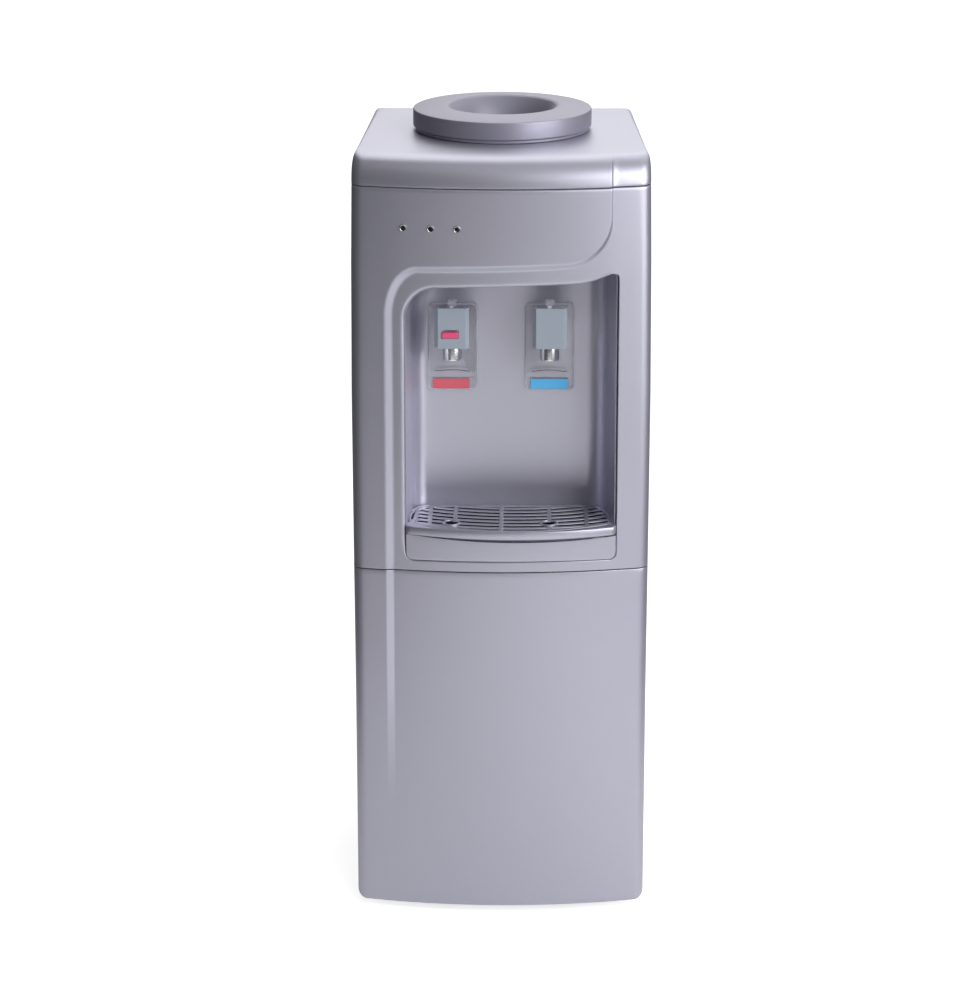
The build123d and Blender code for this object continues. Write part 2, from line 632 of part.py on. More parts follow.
# Hot tank: closed vessel with an outlet on top, a feed at its right and a drain at its back
HOT_FLOOR_Z = MID_SHELF_Z + 10.7
FEED_Z = 432.0
HOT_DRAIN_Z = 420.0
HOT_OUT_D = 150.0
with BuildPart() as hot_tank:
    add(revolved([
        (0, HOT_BOTTOM), (HOT_R - 5, HOT_BOTTOM), (HOT_R, HOT_BOTTOM + 5), (HOT_R, HOT_TOP - 5), (HOT_R - 5, HOT_TOP),
        (0, HOT_TOP), (0, HOT_TOP - 1), (HOT_R - 5.5, HOT_TOP - 1), (HOT_R - 1, HOT_TOP - 5.5),
        (HOT_R - 1, HOT_BOTTOM + 5.5), (HOT_R - 5.5, HOT_BOTTOM + 1), (0, HOT_BOTTOM + 1),
    ], HOT_X, HOT_D))
    hot_out = (TAP_X[0], FRONT_Y + HOT_OUT_D)
    feed_y, drain_y = FRONT_Y + FEED[1], HOT_Y + HOT_R
    add(round_bar((*hot_out, HOT_TOP - 1), (*hot_out, HOT_TOP + 10), STUB_R))
    add(round_bar((HOT_X + HOT_R - 1, feed_y, FEED_Z), (HOT_X + HOT_R + 27, feed_y, FEED_Z), STUB_R))
    add(round_bar((DRAIN_X, drain_y - 1, HOT_DRAIN_Z), (DRAIN_X, drain_y + 13, HOT_DRAIN_Z), STUB_R))
    bore = STUB_R - 1
    add(round_bar((*hot_out, HOT_TOP - 4), (*hot_out, HOT_TOP + 20), bore), mode=Mode.SUBTRACT)
    add(round_bar((HOT_X + HOT_R - 4, feed_y, FEED_Z), (HOT_X + 80, feed_y, FEED_Z), bore), mode=Mode.SUBTRACT)
    add(round_bar((DRAIN_X, drain_y - 4, HOT_DRAIN_Z), (DRAIN_X, BACK_Y, HOT_DRAIN_Z), bore), mode=Mode.SUBTRACT)
hand_in(hot_tank.part, "hot_tank")

# Hot tank lagging, open at the top
HEATER_Z = (444.0, 484.0)
HEATER_T = 3.0
HEATER_R = HOT_R + GAP
LAG_R = HEATER_R + HEATER_T + GAP
with BuildPart() as hot_tank_insulation:
    add(revolved([
        (0, MID_SHELF_Z), (HOT_FOAM_R - 3, MID_SHELF_Z), (HOT_FOAM_R, MID_SHELF_Z + 3), (HOT_FOAM_R, HOT_TOP + 5),
        (HOT_R + GAP, HOT_TOP + 5), (HOT_R + GAP, HEATER_Z[1] + 6), (LAG_R, HEATER_Z[1] + 3),
        (LAG_R, HEATER_Z[0] - 3), (HOT_R + GAP, HEATER_Z[0] - 6), (HOT_R + GAP, HOT_FLOOR_Z), (0, HOT_FLOOR_Z),
    ], HOT_X, HOT_D))
    add(round_bar((HOT_X, feed_y, FEED_Z), (HOT_X + 70, feed_y, FEED_Z), STUB_R + GAP), mode=Mode.SUBTRACT)
    add(round_bar((DRAIN_X, HOT_Y, HOT_DRAIN_Z), (DRAIN_X, HOT_Y + 70, HOT_DRAIN_Z), HOSE_R + 6), mode=Mode.SUBTRACT)
hand_in(hot_tank_insulation.part, "hot_tank_insulation")

# Band heater with its clamping ears
with BuildPart() as band_heater:
    add(revolved([
        (HEATER_R, HEATER_Z[0]), (HEATER_R + HEATER_T, HEATER_Z[0]), (HEATER_R + HEATER_T, HEATER_Z[1]),
        (HEATER_R, HEATER_Z[1]),
    ], HOT_X, HOT_D))
    with Locations((HOT_X - HEATER_R, HOT_Y, sum(HEATER_Z) / 2)):
        Box(20, 3, 60, mode=Mode.SUBTRACT)
hand_in(band_heater.part, "band_heater")

# Thermostats: two snap discs on the hot tank and the cold thermostat on the back panel
THERMO_X = (-74.0, -40.0)
COLD_THERMO = (100.0, 700.0)
with BuildPart() as thermostats:
    for x in THERMO_X:
        add(revolved([
            (0, HOT_TOP), (8, HOT_TOP), (8, HOT_TOP + 3), (6, HOT_TOP + 3), (6, HOT_TOP + 9), (0, HOT_TOP + 9),
        ], x, HOT_D + 14))
    with Locations((COLD_THERMO[0], BACK_Y - SHEET - 14, COLD_THERMO[1])):
        Box(34, 28, 44)
    add(round_bar((COLD_THERMO[0], BACK_Y - 29, COLD_THERMO[1]), (COLD_THERMO[0], BACK_Y - 36, COLD_THERMO[1]), 4))
hand_in(thermostats.part, "thermostats")


def at_tap(index, depth=TAP_D):
    """The x and y of one tap's upright axis, or of a point before or behind it."""
    return TAP_X[index], FRONT_Y + depth


# Tap bodies: valve chamber, outlet neck, shank through the wall and a barb turned down behind it
CHAMBER_R, BODY_R = 7.5, 10.0
CHAMBER_LOW, BODY_LOW, BODY_TOP = 628.0, 624.0, 652.0
NECK_OUT_R, OUTLET_R = 6.5, 4.0
NECK_LOW = 612.0
SHANK_END_D = 91.0
BARB_LOW = 598.0


def tap_body(index):
    """One tap body, with its water way from the barb to the outlet."""
    x, y = at_tap(index)
    with BuildPart() as body:
        with Locations((x, y, BODY_LOW)):
            Cylinder(BODY_R, BODY_TOP - BODY_LOW, align=(Align.CENTER, Align.CENTER, Align.MIN))
        with Locations((x, y, NECK_LOW)):
            Cylinder(NECK_OUT_R, BODY_LOW - NECK_LOW, align=(Align.CENTER, Align.CENTER, Align.MIN))
        add(round_bar((x, y, TAP_Z), (x, FRONT_Y + SHANK_END_D, TAP_Z), SHANK_R))
        with Locations((x, FRONT_Y + NICHE_BACK_D - 1, TAP_Z)):
            Cylinder(SHANK_R + 3, 2, rotation=(90, 0, 0))
        add(round_bar((x, FRONT_Y + HOSE_D, TAP_Z), (x, FRONT_Y + HOSE_D, BARB_LOW), BARB_R))
        add(round_bar((x, y, CHAMBER_LOW), (x, y, BODY_TOP + 1), CHAMBER_R), mode=Mode.SUBTRACT)
        add(round_bar((x, y, NECK_LOW - 1), (x, y, CHAMBER_LOW + 1), OUTLET_R), mode=Mode.SUBTRACT)
        add(round_bar((x, y, TAP_Z), (x, FRONT_Y + HOSE_D + 2, TAP_Z), OUTLET_R - 0.5), mode=Mode.SUBTRACT)
        add(round_bar((x, FRONT_Y + HOSE_D, TAP_Z), (x, FRONT_Y + HOSE_D, BARB_LOW - 1), BARB_R - 1), mode=Mode.SUBTRACT)
    return body.part


with BuildPart() as tap_bodies:
    add(tap_body(0))
    add(tap_body(1))
hand_in(tap_bodies.part, "tap_bodies")

# Bonnets: plug in the top of each chamber with the lug that carries the paddle's pin
LUG_W = 4.6
EYE_R = 3.5
BONNET_TOP = BODY_TOP + 4
with BuildPart() as bonnet:
    with BuildSketch(Plane.XZ):
        with BuildLine():
            Polyline(
                (STEM_R + 0.15, BODY_TOP - 4), (CHAMBER_R - 0.05, BODY_TOP - 4), (CHAMBER_R - 0.05, BODY_TOP),
                (BODY_R, BODY_TOP), (BODY_R, BONNET_TOP - 1), (BODY_R - 1, BONNET_TOP), (STEM_R + 0.15, BONNET_TOP),
                close=True,
            )
        make_face()
    revolve(axis=Axis.Z)
    pivot_y = PIVOT_D - TAP_D
    with BuildSketch(Plane.YZ):
        with BuildLine():
            Polyline((pivot_y, PIVOT_Z), (pivot_y + 4, PIVOT_Z), (-4, BONNET_TOP - 1), (-9, BONNET_TOP - 1), close=True)
        make_face()
        with BuildLine():
            Polyline((pivot_y - 3, PIVOT_Z), (pivot_y + 3, PIVOT_Z), (-3, BONNET_TOP - 2), (-9, BONNET_TOP - 2), close=True)
        make_face()
        with Locations((pivot_y, PIVOT_Z)):
            Circle(EYE_R)
    extrude(amount=LUG_W / 2, both=True)
    with Locations((0, pivot_y, PIVOT_Z)):
        Cylinder(PIN_R, 20, rotation=(0, 90, 0), mode=Mode.SUBTRACT)
with BuildPart() as tap_bonnets:
    for index in (0, 1):
        add(Pos(*at_tap(index), 0) * bonnet.part)
hand_in(tap_bonnets.part, "tap_bonnets")

# Pivot pins, pressed into the lugs; the paddles turn on their ends
EAR_IN, EAR_OUT = LUG_W / 2 + 0.3, 5.0
with BuildPart() as pivot_pins:
    for index in (0, 1):
        x, y = at_tap(index, PIVOT_D)
        add(round_bar((x - EAR_OUT - 1, y, PIVOT_Z), (x + EAR_OUT + 1, y, PIVOT_Z), PIN_R))
hand_in(pivot_pins.part, "pivot_pins")

# Valve stems: seal disc, rod and the head that the paddle lifts
DISC_R, DISC_T = 6.0, 3.0
HEAD_W, HEAD_L, HEAD_T = 9.2, 9.0, 5.5
for index, name in enumerate(("hot_valve_stem", "cold_valve_stem")):
    with BuildPart() as stem:
        x, y = at_tap(index)
        with Locations((x, y, CHAMBER_LOW)):
            Cylinder(DISC_R, DISC_T, align=(Align.CENTER, Align.CENTER, Align.MIN))
        add(round_bar((x, y, CHAMBER_LOW + DISC_T), (x, y, HEAD_Z), STEM_R))
        with Locations((x, y, HEAD_Z)):
            Box(HEAD_W, HEAD_L, HEAD_T, align=(Align.CENTER, Align.CENTER, Align.MIN))
        chamfer(stem.faces().sort_by(Axis.Z)[-1].edges(), 0.8)
    hand_in(stem.part, name)

# Valve springs, wound round the stems between the seal disc and the bonnet
SPRING_R, SPRING_WIRE = 4.2, 0.5
SPRING_LOW, SPRING_HIGH = CHAMBER_LOW + DISC_T + SPRING_WIRE + 0.05, BODY_TOP - 4 - SPRING_WIRE - 0.05
SPRING_TURNS = 5
SPRING = (SPRING_R, SPRING_LOW, (SPRING_HIGH - SPRING_LOW) / SPRING_TURNS)
with BuildPart() as spring:
    with BuildLine() as spring_line:
        wind(SPRING_TURNS, *SPRING)
    spring_path = spring_line.wires()[0]
    with BuildSketch(Plane(origin=spring_path @ 0, z_dir=spring_path % 0)):
        Circle(SPRING_WIRE)
    sweep(path=spring_path)
gap = least_gap(spring_path, SPRING_TURNS, SPRING_WIRE)
print(f"spring {spring_path.length:.0f} mm of wire, least gap {gap:.2f} mm")
for index, name in enumerate(("hot_tap_spring", "cold_tap_spring")):
    hand_in(Pos(*at_tap(index), 0) * spring.part, name)

# Paddles: pressed shells with bevelled flanks, hung on the pins; two tines lift the stem's head
FLANK = 3.6
PADDLE_BACK = 30.0       # rear edge of the flanks
TINE_R = 1.6
BUTTON_X = -53.6 - TAP_X[0]
BUTTON_W, BUTTON_H = 18.2, 9.4
BUTTON_Z = 634.4
BUTTON_TRAVEL = 2.4
FLOOR_BACK = TAP_D - BODY_R - (PIVOT_Z - PADDLE_LOW) * sin(radians(PRESS_DEG)) - 1.0  # clears the tap body when pressed


def paddle(window):
    """One paddle about its own tap axis, with a window for the lock button where asked."""
    front, back = PADDLE_D - TAP_D, PADDLE_BACK - TAP_D
    half = PADDLE_W / 2
    with BuildPart() as shell:
        with BuildSketch(Plane.XY.offset(PADDLE_LOW)):
            with BuildLine():
                Polyline(
                    (-half, back), (-half, front + FLANK), (-half + FLANK, front), (half - FLANK, front),
                    (half, front + FLANK), (half, back), (half - PADDLE_T, back),
                    (half - PADDLE_T, front + FLANK + 1), (half - FLANK - 1, front + PADDLE_T),
                    (-half + FLANK + 1, front + PADDLE_T), (-half + PADDLE_T, front + FLANK + 1),
                    (-half + PADDLE_T, back), close=True,
                )
            make_face()
        extrude(amount=PADDLE_TOP - PADDLE_LOW)
        with Locations((0, front + 1, PADDLE_LOW)):
            Box(PADDLE_W - 2, FLOOR_BACK - PADDLE_D - 1, PADDLE_T, align=(Align.CENTER, Align.MIN, Align.MIN))
        with BuildSketch(Plane.YZ.offset(EAR_IN)):
            with BuildLine():
                Polyline(
                    (front + 1, PADDLE_TOP), (PIVOT_D - TAP_D, PIVOT_Z + EYE_R), (-HEAD_L / 2 - 1.5, PIVOT_Z + TINE_R),
                    (0, PIVOT_Z + TINE_R),
                    (0, PIVOT_Z - TINE_R), (PIVOT_D - TAP_D, PIVOT_Z - EYE_R), (front + 1, PIVOT_Z - 9), close=True,
                )
            make_face()
            with Locations((PIVOT_D - TAP_D, PIVOT_Z)):
                Circle(EYE_R)
            with Locations((0, PIVOT_Z)):
                Circle(TINE_R)
        ears = extrude(amount=EAR_OUT - EAR_IN)
        mirror(ears, about=Plane.YZ)
        with Locations((0, PIVOT_D - TAP_D, PIVOT_Z)):
            Cylinder(PIN_R + 0.05, 20, rotation=(0, 90, 0), mode=Mode.SUBTRACT)
        if window:
            with Locations((BUTTON_X, front, BUTTON_Z)):
                Box(BUTTON_W, 12, BUTTON_H, align=(Align.CENTER, Align.CENTER, Align.MIN), mode=Mode.SUBTRACT)
    return shell.part


hand_in(Pos(*at_tap(0), 0) * paddle(True), "hot_paddle")
hand_in(Pos(*at_tap(1), 0) * paddle(False), "cold_paddle")

# Lock button: slides up in the hot paddle's window, held by a flange behind it
with BuildPart() as lock_button:
    x, y = TAP_X[0] + BUTTON_X, FRONT_Y + PADDLE_D
    low = (Align.CENTER, Align.MIN, Align.MIN)
    with Locations((x, y - 1.2, BUTTON_Z + GAP)):
        Box(BUTTON_W - 0.6, PADDLE_T + 1.4, BUTTON_H - BUTTON_TRAVEL - 2 * GAP, align=low)
    chamfer(lock_button.faces().sort_by(Axis.Y)[0].edges(), 0.6)
    with Locations((x, y + PADDLE_T + GAP - 0.1, BUTTON_Z - 1.5)):
        Box(BUTTON_W + 3, 1.4, BUTTON_H - 1, align=low)
hand_in(lock_button.part, "lock_button")

# Spouts, pushed over the outlet necks
SPOUT_TOP = TAP_Z - SHANK_R - GAP
with BuildPart() as spouts:
    for index in (0, 1):
        add(revolved([
            (5.2, SPOUT_BOTTOM), (SPOUT_R - 0.6, SPOUT_BOTTOM), (SPOUT_R, SPOUT_BOTTOM + 0.6), (SPOUT_R, SPOUT_TOP),
            (NECK_OUT_R + 0.05, SPOUT_TOP), (NECK_OUT_R + 0.05, NECK_LOW), (5.2, NECK_LOW),
        ], TAP_X[index], TAP_D))
hand_in(spouts.part, "spouts")

# Nuts behind the recess wall
NUT_AF = 26.0
nut_d = NICHE_BACK_D + NICHE_WALL
with BuildPart() as tap_nuts:
    for index in (0, 1):
        x, y = at_tap(index, nut_d)
        with BuildSketch(Plane.XZ.offset(-y)):
            with Locations((x, TAP_Z)):
                RegularPolygon(NUT_AF / 2, 6, major_radius=False)
                Circle(SHANK_R + 0.05, mode=Mode.SUBTRACT)
        extrude(amount=-6.5)
hand_in(tap_nuts.part, "tap_nuts")

# Escutcheons: clear shallow trays between tap and wall, each with an arched ledge and a strip under it
PLATE_W, PLATE_Z = 53.2, (566.5, 661.5)
PLATE_T, PLATE_FLOOR = 3.2, 1.4
LEDGE_Z = 588.5
LABEL_Z = (567.9, 578.5)
LABEL_W = (42.5, 40.0)
with BuildPart() as escutcheons:
    for index in (0, 1):
        x, y = at_tap(index, NICHE_BACK_D - GAP)
        mid_z = sum(PLATE_Z) / 2
        with BuildSketch(Plane.XZ.offset(-y)):
            with Locations((x, mid_z)):
                RectangleRounded(PLATE_W, PLATE_Z[1] - PLATE_Z[0], 6)
        extrude(amount=PLATE_T)
        with BuildSketch(Plane.XZ.offset(-y + PLATE_FLOOR)):
            with BuildLine():
                half = PLATE_W / 2 - 2.4
                Line((x - half, PLATE_Z[1] - 2.4), (x + half, PLATE_Z[1] - 2.4))
                Line((x + half, PLATE_Z[1] - 2.4), (x + half, LEDGE_Z - 3))
                ThreePointArc((x + half, LEDGE_Z - 3), (x, LEDGE_Z + 2.5), (x - half, LEDGE_Z - 3))
                Line((x - half, LEDGE_Z - 3), (x - half, PLATE_Z[1] - 2.4))
            make_face()
            with Locations((x, sum(LABEL_Z) / 2)):
                Rectangle(LABEL_W[index] + 0.6, LABEL_Z[1] - LABEL_Z[0] + 0.6)
        extrude(amount=10, mode=Mode.SUBTRACT)
        with Locations((x, y, TAP_Z)):
            Cylinder(SHANK_R + 3.3, 20, rotation=(90, 0, 0), mode=Mode.SUBTRACT)
hand_in(escutcheons.part, "escutcheons")

for index, name in enumerate(("hot_label", "cold_label")):
    with BuildPart() as label:
        x, y = at_tap(index, NICHE_BACK_D - GAP - PLATE_FLOOR)
        with Locations((x, y, sum(LABEL_Z) / 2)):
            Box(LABEL_W[index], 1.4, LABEL_Z[1] - LABEL_Z[0], align=(Align.CENTER, Align.MAX, Align.CENTER))
    hand_in(label.part, name)


# Drip tray: basin in the floor of the recess, with an apron in the front's surface and a lip standing out of it
LIP_X, LIP_D = 12.0, LIP_R - NOSE
LIP_UNDER = 425.0
GRILLE_R = 191.0
GRILLE_FRONT = -30.5
GRILLE_Z = TRAY_TOP - 0.5
LEDGE_W = 3.0
GRILLE_SEAT_Z = GRILLE_Z - 6.0


def lip_disc(grow, low, high, under):
    """The round of the tray's lip, with its underside falling back to the apron."""
    run = 24.0
    return revolved([
        (0, low), (LIP_R + grow - run, low), (LIP_R + grow, under), (LIP_R + grow, high - 1.2),
        (LIP_R + grow - 1.2, high), (0, high),
    ], LIP_X, LIP_D)


def grille_plan(z, inset):
    """Plan of the grille's lens: the recess's own plan cut by the sweep of its front edge."""
    with BuildSketch(Plane.XY.offset(z)) as plan:
        add(recess_plan(z, inset, -80))
        with Locations((LIP_X, FRONT_Y + GRILLE_FRONT + GRILLE_R)):
            Circle(GRILLE_R - (inset - GRILLE_INSET), mode=Mode.INTERSECT)
    return plan.sketch


GRILLE_INSET = TRAY_GAP + TRAY_WALL + GAP
tray_low = NICHE_BOTTOM + GAP
with BuildPart() as drip_tray:
    extrude(recess_plan(tray_low, TRAY_GAP, -60), amount=TRAY_TOP - tray_low)
    add(through(niche_face(TRAY_GAP)), mode=Mode.INTERSECT)
    front_block = moulding(tray_low - 1, TRAY_TOP)
    add(front_block + lip_disc(0, LIP_UNDER - 5, TRAY_TOP, TRAY_TOP - LIP_H), mode=Mode.INTERSECT)
    extrude(grille_plan(GRILLE_SEAT_Z, GRILLE_INSET - GAP), amount=20, mode=Mode.SUBTRACT)
    well = extrude(grille_plan(tray_low + TRAY_WALL, GRILLE_INSET + LEDGE_W), amount=40, mode=Mode.PRIVATE)
    low_well = moulding(tray_low, GRILLE_SEAT_Z - 7, TRAY_WALL + 1, 0.1)
    high_well = moulding(GRILLE_SEAT_Z - 7.5, GRILLE_SEAT_Z + 5, -20, 0.1)
    add(well & (low_well + high_well), mode=Mode.SUBTRACT)
hand_in(drip_tray.part, "drip_tray")

# Grille: curved slots between cross ribs, a rounded skirt and a ring under each tap
SLOT_ROWS = 8
RING_R = 9.0
with BuildPart() as drip_grille:
    extrude(grille_plan(GRILLE_SEAT_Z, GRILLE_INSET), amount=GRILLE_Z - GRILLE_SEAT_Z)
    hollow = grille_plan(GRILLE_SEAT_Z, GRILLE_INSET + 2)
    extrude(hollow, amount=GRILLE_Z - GRILLE_T - GRILLE_SEAT_Z, mode=Mode.SUBTRACT)
    with BuildSketch(Plane.XY.offset(GRILLE_Z - GRILLE_T)) as slots:
        first_row = LIP_D - GRILLE_FRONT - 5.0 - SLOT_W / 2
        with Locations((LIP_X, FRONT_Y + LIP_D)):
            for row in range(SLOT_ROWS):
                Circle(first_row - row * SLOT_PITCH + SLOT_W / 2)
                Circle(first_row - row * SLOT_PITCH - SLOT_W / 2, mode=Mode.SUBTRACT)
        add(grille_plan(GRILLE_Z - GRILLE_T, GRILLE_INSET + 5), mode=Mode.INTERSECT)
        with Locations(*[(x, FRONT_Y) for x in CROSS_RIBS]):
            Rectangle(4, 300, mode=Mode.SUBTRACT)
        with Locations(*[(x, FRONT_Y + RING_D) for x in RING_X]):
            Circle(RING_R + 2, mode=Mode.SUBTRACT)
            Circle(RING_R - 2)
    extrude(slots.sketch, amount=10, mode=Mode.SUBTRACT)
hand_in(drip_grille.part, "drip_grille")

# Hoses
with BuildPart() as tap_hoses:
    x, y = at_tap(0, HOSE_D)
    top, low = BARB_LOW + 14, HOT_TOP + 27
    out_x, out_y = hot_out
    add(pipe([(x, y, top), (x, y, low), (out_x, out_y, low), (out_x, out_y, HOT_TOP + 2)],
             [25, 16], HOSE_R, HOSE_BORE))
    x, y = at_tap(1, HOSE_D)
    out_x, out_y = COLD_OUT[0], FRONT_Y + COLD_OUT[1]
    low = 500.0
    add(pipe([(x, y, top), (x, y, low), (out_x, out_y, low), (out_x, out_y, STUB_LOW + 14)],
             [25, 22], HOSE_R, HOSE_BORE))
hand_in(tap_hoses.part, "tap_hoses")

feed_x, feed_top = FEED[0], STUB_LOW + 14
feed_end = HOT_X + HOT_R + 17
feed_hose = pipe(
    [(feed_x, feed_y, feed_top), (feed_x, feed_y, FEED_Z), (feed_end, feed_y, FEED_Z)], [18], HOSE_R, HOSE_BORE
)
hand_in(feed_hose, "feed_hose")

drain_hose_y = FRONT_Y + DRAIN_HOSE_D
drain_end = BACK_Y - 20
drain_hose = pipe(
    [(DRAIN_X, drain_y + 4, HOT_DRAIN_Z), (DRAIN_X, drain_hose_y, HOT_DRAIN_Z), (DRAIN_X, drain_hose_y, DRAIN_Z),
     (DRAIN_X, drain_end, DRAIN_Z)], [20, 16], HOSE_R, HOSE_BORE
)
hand_in(drain_hose, "drain_hose")

# Spring clamps near each hose end
CLAMP_W, CLAMP_R = 5.0, HOSE_R + 1.4


def clamp(x, y, z, axis):
    """A band clamp round a hose, with its two pinched ears; axis is the hose's own direction."""
    with BuildPart() as band:
        Cylinder(CLAMP_R, CLAMP_W)
        with Locations((CLAMP_R + 1.5, -1.6, 0), (CLAMP_R + 1.5, 1.6, 0)):
            Box(5, 1.2, CLAMP_W)
        Cylinder(HOSE_R + 0.05, 20, mode=Mode.SUBTRACT)
    turn = {"x": Rot(0, 90, 0), "y": Rot(90, 0, 0), "z": Rot(0, 0, 0)}[axis]
    return Pos(x, y, z) * turn * band.part


with BuildPart() as hose_clamps:
    for index in (0, 1):
        x, y = at_tap(index, HOSE_D)
        add(clamp(x, y, BARB_LOW + 9, "z"))
    add(clamp(*hot_out, HOT_TOP + 6.5, "z"))
    add(clamp(COLD_OUT[0], FRONT_Y + COLD_OUT[1], STUB_LOW + 6, "z"))
    add(clamp(feed_x, feed_y, STUB_LOW + 6, "z"))
    add(clamp(feed_end + 4, feed_y, FEED_Z, "x"))
    add(clamp(DRAIN_X, drain_y + 9, HOT_DRAIN_Z, "y"))
    add(clamp(DRAIN_X, drain_end - 4, DRAIN_Z, "y"))
hand_in(hose_clamps.part, "hose_clamps")

# Drain fitting through the back panel, its nut inside and its screw cap outside
with BuildPart() as drain_fitting:
    add(round_bar((DRAIN_X, BACK_Y - 9, DRAIN_Z), (DRAIN_X, BACK_Y + 10, DRAIN_Z), DRAIN_R))
    add(round_bar((DRAIN_X, BACK_Y - 26, DRAIN_Z), (DRAIN_X, BACK_Y - 9, DRAIN_Z), BARB_R))
    add(round_bar((DRAIN_X, BACK_Y, DRAIN_Z), (DRAIN_X, BACK_Y + 2, DRAIN_Z), DRAIN_R + 3))
    with BuildSketch(Plane.XZ.offset(-(BACK_Y - SHEET))):
        with Locations((DRAIN_X, DRAIN_Z)):
            RegularPolygon(10, 6, major_radius=False)
    extrude(amount=4)
    add(round_bar((DRAIN_X, BACK_Y - 33, DRAIN_Z), (DRAIN_X, BACK_Y + 12, DRAIN_Z), BARB_R - 1), mode=Mode.SUBTRACT)
hand_in(drain_fitting.part, "drain_fitting")

CAP_R = 10.0
with BuildPart() as drain_cap:
    add(round_bar((DRAIN_X, BACK_Y + 2 + GAP, DRAIN_Z), (DRAIN_X, BACK_Y + 13, DRAIN_Z), CAP_R))
    chamfer(drain_cap.faces().sort_by(Axis.Y)[-1].edges(), 1)
    add(round_bar((DRAIN_X, BACK_Y + 1, DRAIN_Z), (DRAIN_X, BACK_Y + 10 + GAP, DRAIN_Z), DRAIN_R + GAP), mode=Mode.SUBTRACT)
hand_in(drain_cap.part, "drain_cap")

# Cord gland: bush in the back panel with an open bore
with BuildPart() as cord_gland:
    add(round_bar((GLAND_X, BACK_Y - 6, GLAND_Z), (GLAND_X, BACK_Y, GLAND_Z), GLAND_R))
    add(round_bar((GLAND_X, BACK_Y, GLAND_Z), (GLAND_X, BACK_Y + 4, GLAND_Z), GLAND_R + 3))
    add(round_bar((GLAND_X, BACK_Y - 6, GLAND_Z), (GLAND_X, BACK_Y - SHEET - GAP, GLAND_Z), GLAND_R + 2))
    add(round_bar((GLAND_X, BACK_Y - 8, GLAND_Z), (GLAND_X, BACK_Y + 6, GLAND_Z), 3.8), mode=Mode.SUBTRACT)
hand_in(cord_gland.part, "cord_gland")

# Compressor: two drawn cups welded at a flange, on a foot plate over four rubber grommets
FOOT_PLATE_Z = PAN_Z + PAN_T + 6.0
COMP_R, COMP_LOW, COMP_TOP, WELD_Z = 52.0, FOOT_PLATE_Z + 1.0, 160.0, 96.0
comp_profile = [
    (0, COMP_LOW), (30, COMP_LOW + 1), (46, COMP_LOW + 8), (COMP_R, COMP_LOW + 22), (COMP_R, WELD_Z - 2),
    (COMP_R + 4, WELD_Z - 2), (COMP_R + 4, WELD_Z + 1.5), (COMP_R + 1.5, WELD_Z + 1.5), (COMP_R, COMP_TOP - 32),
    (COMP_R - 6, COMP_TOP - 14), (34, COMP_TOP - 3), (0, COMP_TOP),
]
DISCHARGE = (COMP_X + 28, COMP_D + 22)
SUCTION = (COMP_X - 10, COMP_D + 36)
with BuildPart() as compressor:
    add(revolved(comp_profile, COMP_X, COMP_D))
    for x, depth in (DISCHARGE, SUCTION, (COMP_X - 30, COMP_D - 20)):
        base = (x, FRONT_Y + depth)
        add(round_bar((*base, COMP_TOP - 30), (*base, COMP_TOP + 6), TUBE_R + 1.2))
    with BuildSketch(Plane.XY.offset(FOOT_PLATE_Z)):
        with Locations((COMP_X, FRONT_Y + COMP_D)):
            Rectangle(136, 60)
            RectangleRounded(136, 96, 10)
            Rectangle(70, 110, mode=Mode.INTERSECT)
    extrude(amount=3)
    with BuildSketch(Plane.XY.offset(FOOT_PLATE_Z)):
        with Locations((COMP_X, FRONT_Y + COMP_D)):
            RectangleRounded(136, 96, 10)
        with Locations(*COMP_FEET):
            Circle(6.8, mode=Mode.SUBTRACT)
    extrude(amount=2.2)
hand_in(compressor.part, "compressor")

with BuildPart() as grommet:
    foot_top = FOOT_PLATE_Z + 2.2
    with BuildSketch(Plane.XZ):
        with BuildLine():
            Polyline(
                (BOLT_R + 0.3, PAN_Z + PAN_T), (10, PAN_Z + PAN_T), (10, FOOT_PLATE_Z), (6.5, FOOT_PLATE_Z),
                (6.5, foot_top), (9, foot_top), (9, foot_top + 4), (BOLT_R + 0.3, foot_top + 4), close=True,
            )
        make_face()
    revolve(axis=Axis.Z)
with BuildPart() as compressor_grommets:
    for x, y in COMP_FEET:
        add(Pos(x, y, 0) * grommet.part)
hand_in(compressor_grommets.part, "compressor_grommets")

with BuildPart() as stud:
    Cylinder(BOLT_R, foot_top + 12 - PAN_Z, align=(Align.CENTER, Align.CENTER, Align.MIN))
    with Locations((0, 0, -2.2)):
        Cylinder(6, 2.2, align=(Align.CENTER, Align.CENTER, Align.MIN))
    with BuildSketch(Plane.XY.offset(foot_top + 4 - PAN_Z)):
        RegularPolygon(5, 6, major_radius=False)
    extrude(amount=5)
    with BuildSketch(Plane.XY.offset(foot_top + 4 - PAN_Z)):
        Circle(8.5)
    extrude(amount=1)
with BuildPart() as compressor_bolts:
    for x, y in COMP_FEET:
        add(Pos(x, y, PAN_Z) * stud.part)
hand_in(compressor_bolts.part, "compressor_bolts")

TERMINAL_W, TERMINAL_T, TERMINAL_H = 44.0, 20.0, 52.0
with BuildPart() as terminal_cover:
    with Locations((COMP_X - COMP_R - 4, FRONT_Y + COMP_D, 66)):
        Box(TERMINAL_T + 16, TERMINAL_W, TERMINAL_H)
    fillet(terminal_cover.edges().filter_by(Axis.X), 4)
    add(revolved([(0, 20), (COMP_R + GAP, 20), (COMP_R + GAP, 94), (0, 94)], COMP_X, COMP_D), mode=Mode.SUBTRACT)
    with Locations((COMP_X - COMP_R - 4 + 2, FRONT_Y + COMP_D, 66)):
        Box(TERMINAL_T + 16, TERMINAL_W - 4, TERMINAL_H - 4, mode=Mode.SUBTRACT)
hand_in(terminal_cover.part, "terminal_cover")

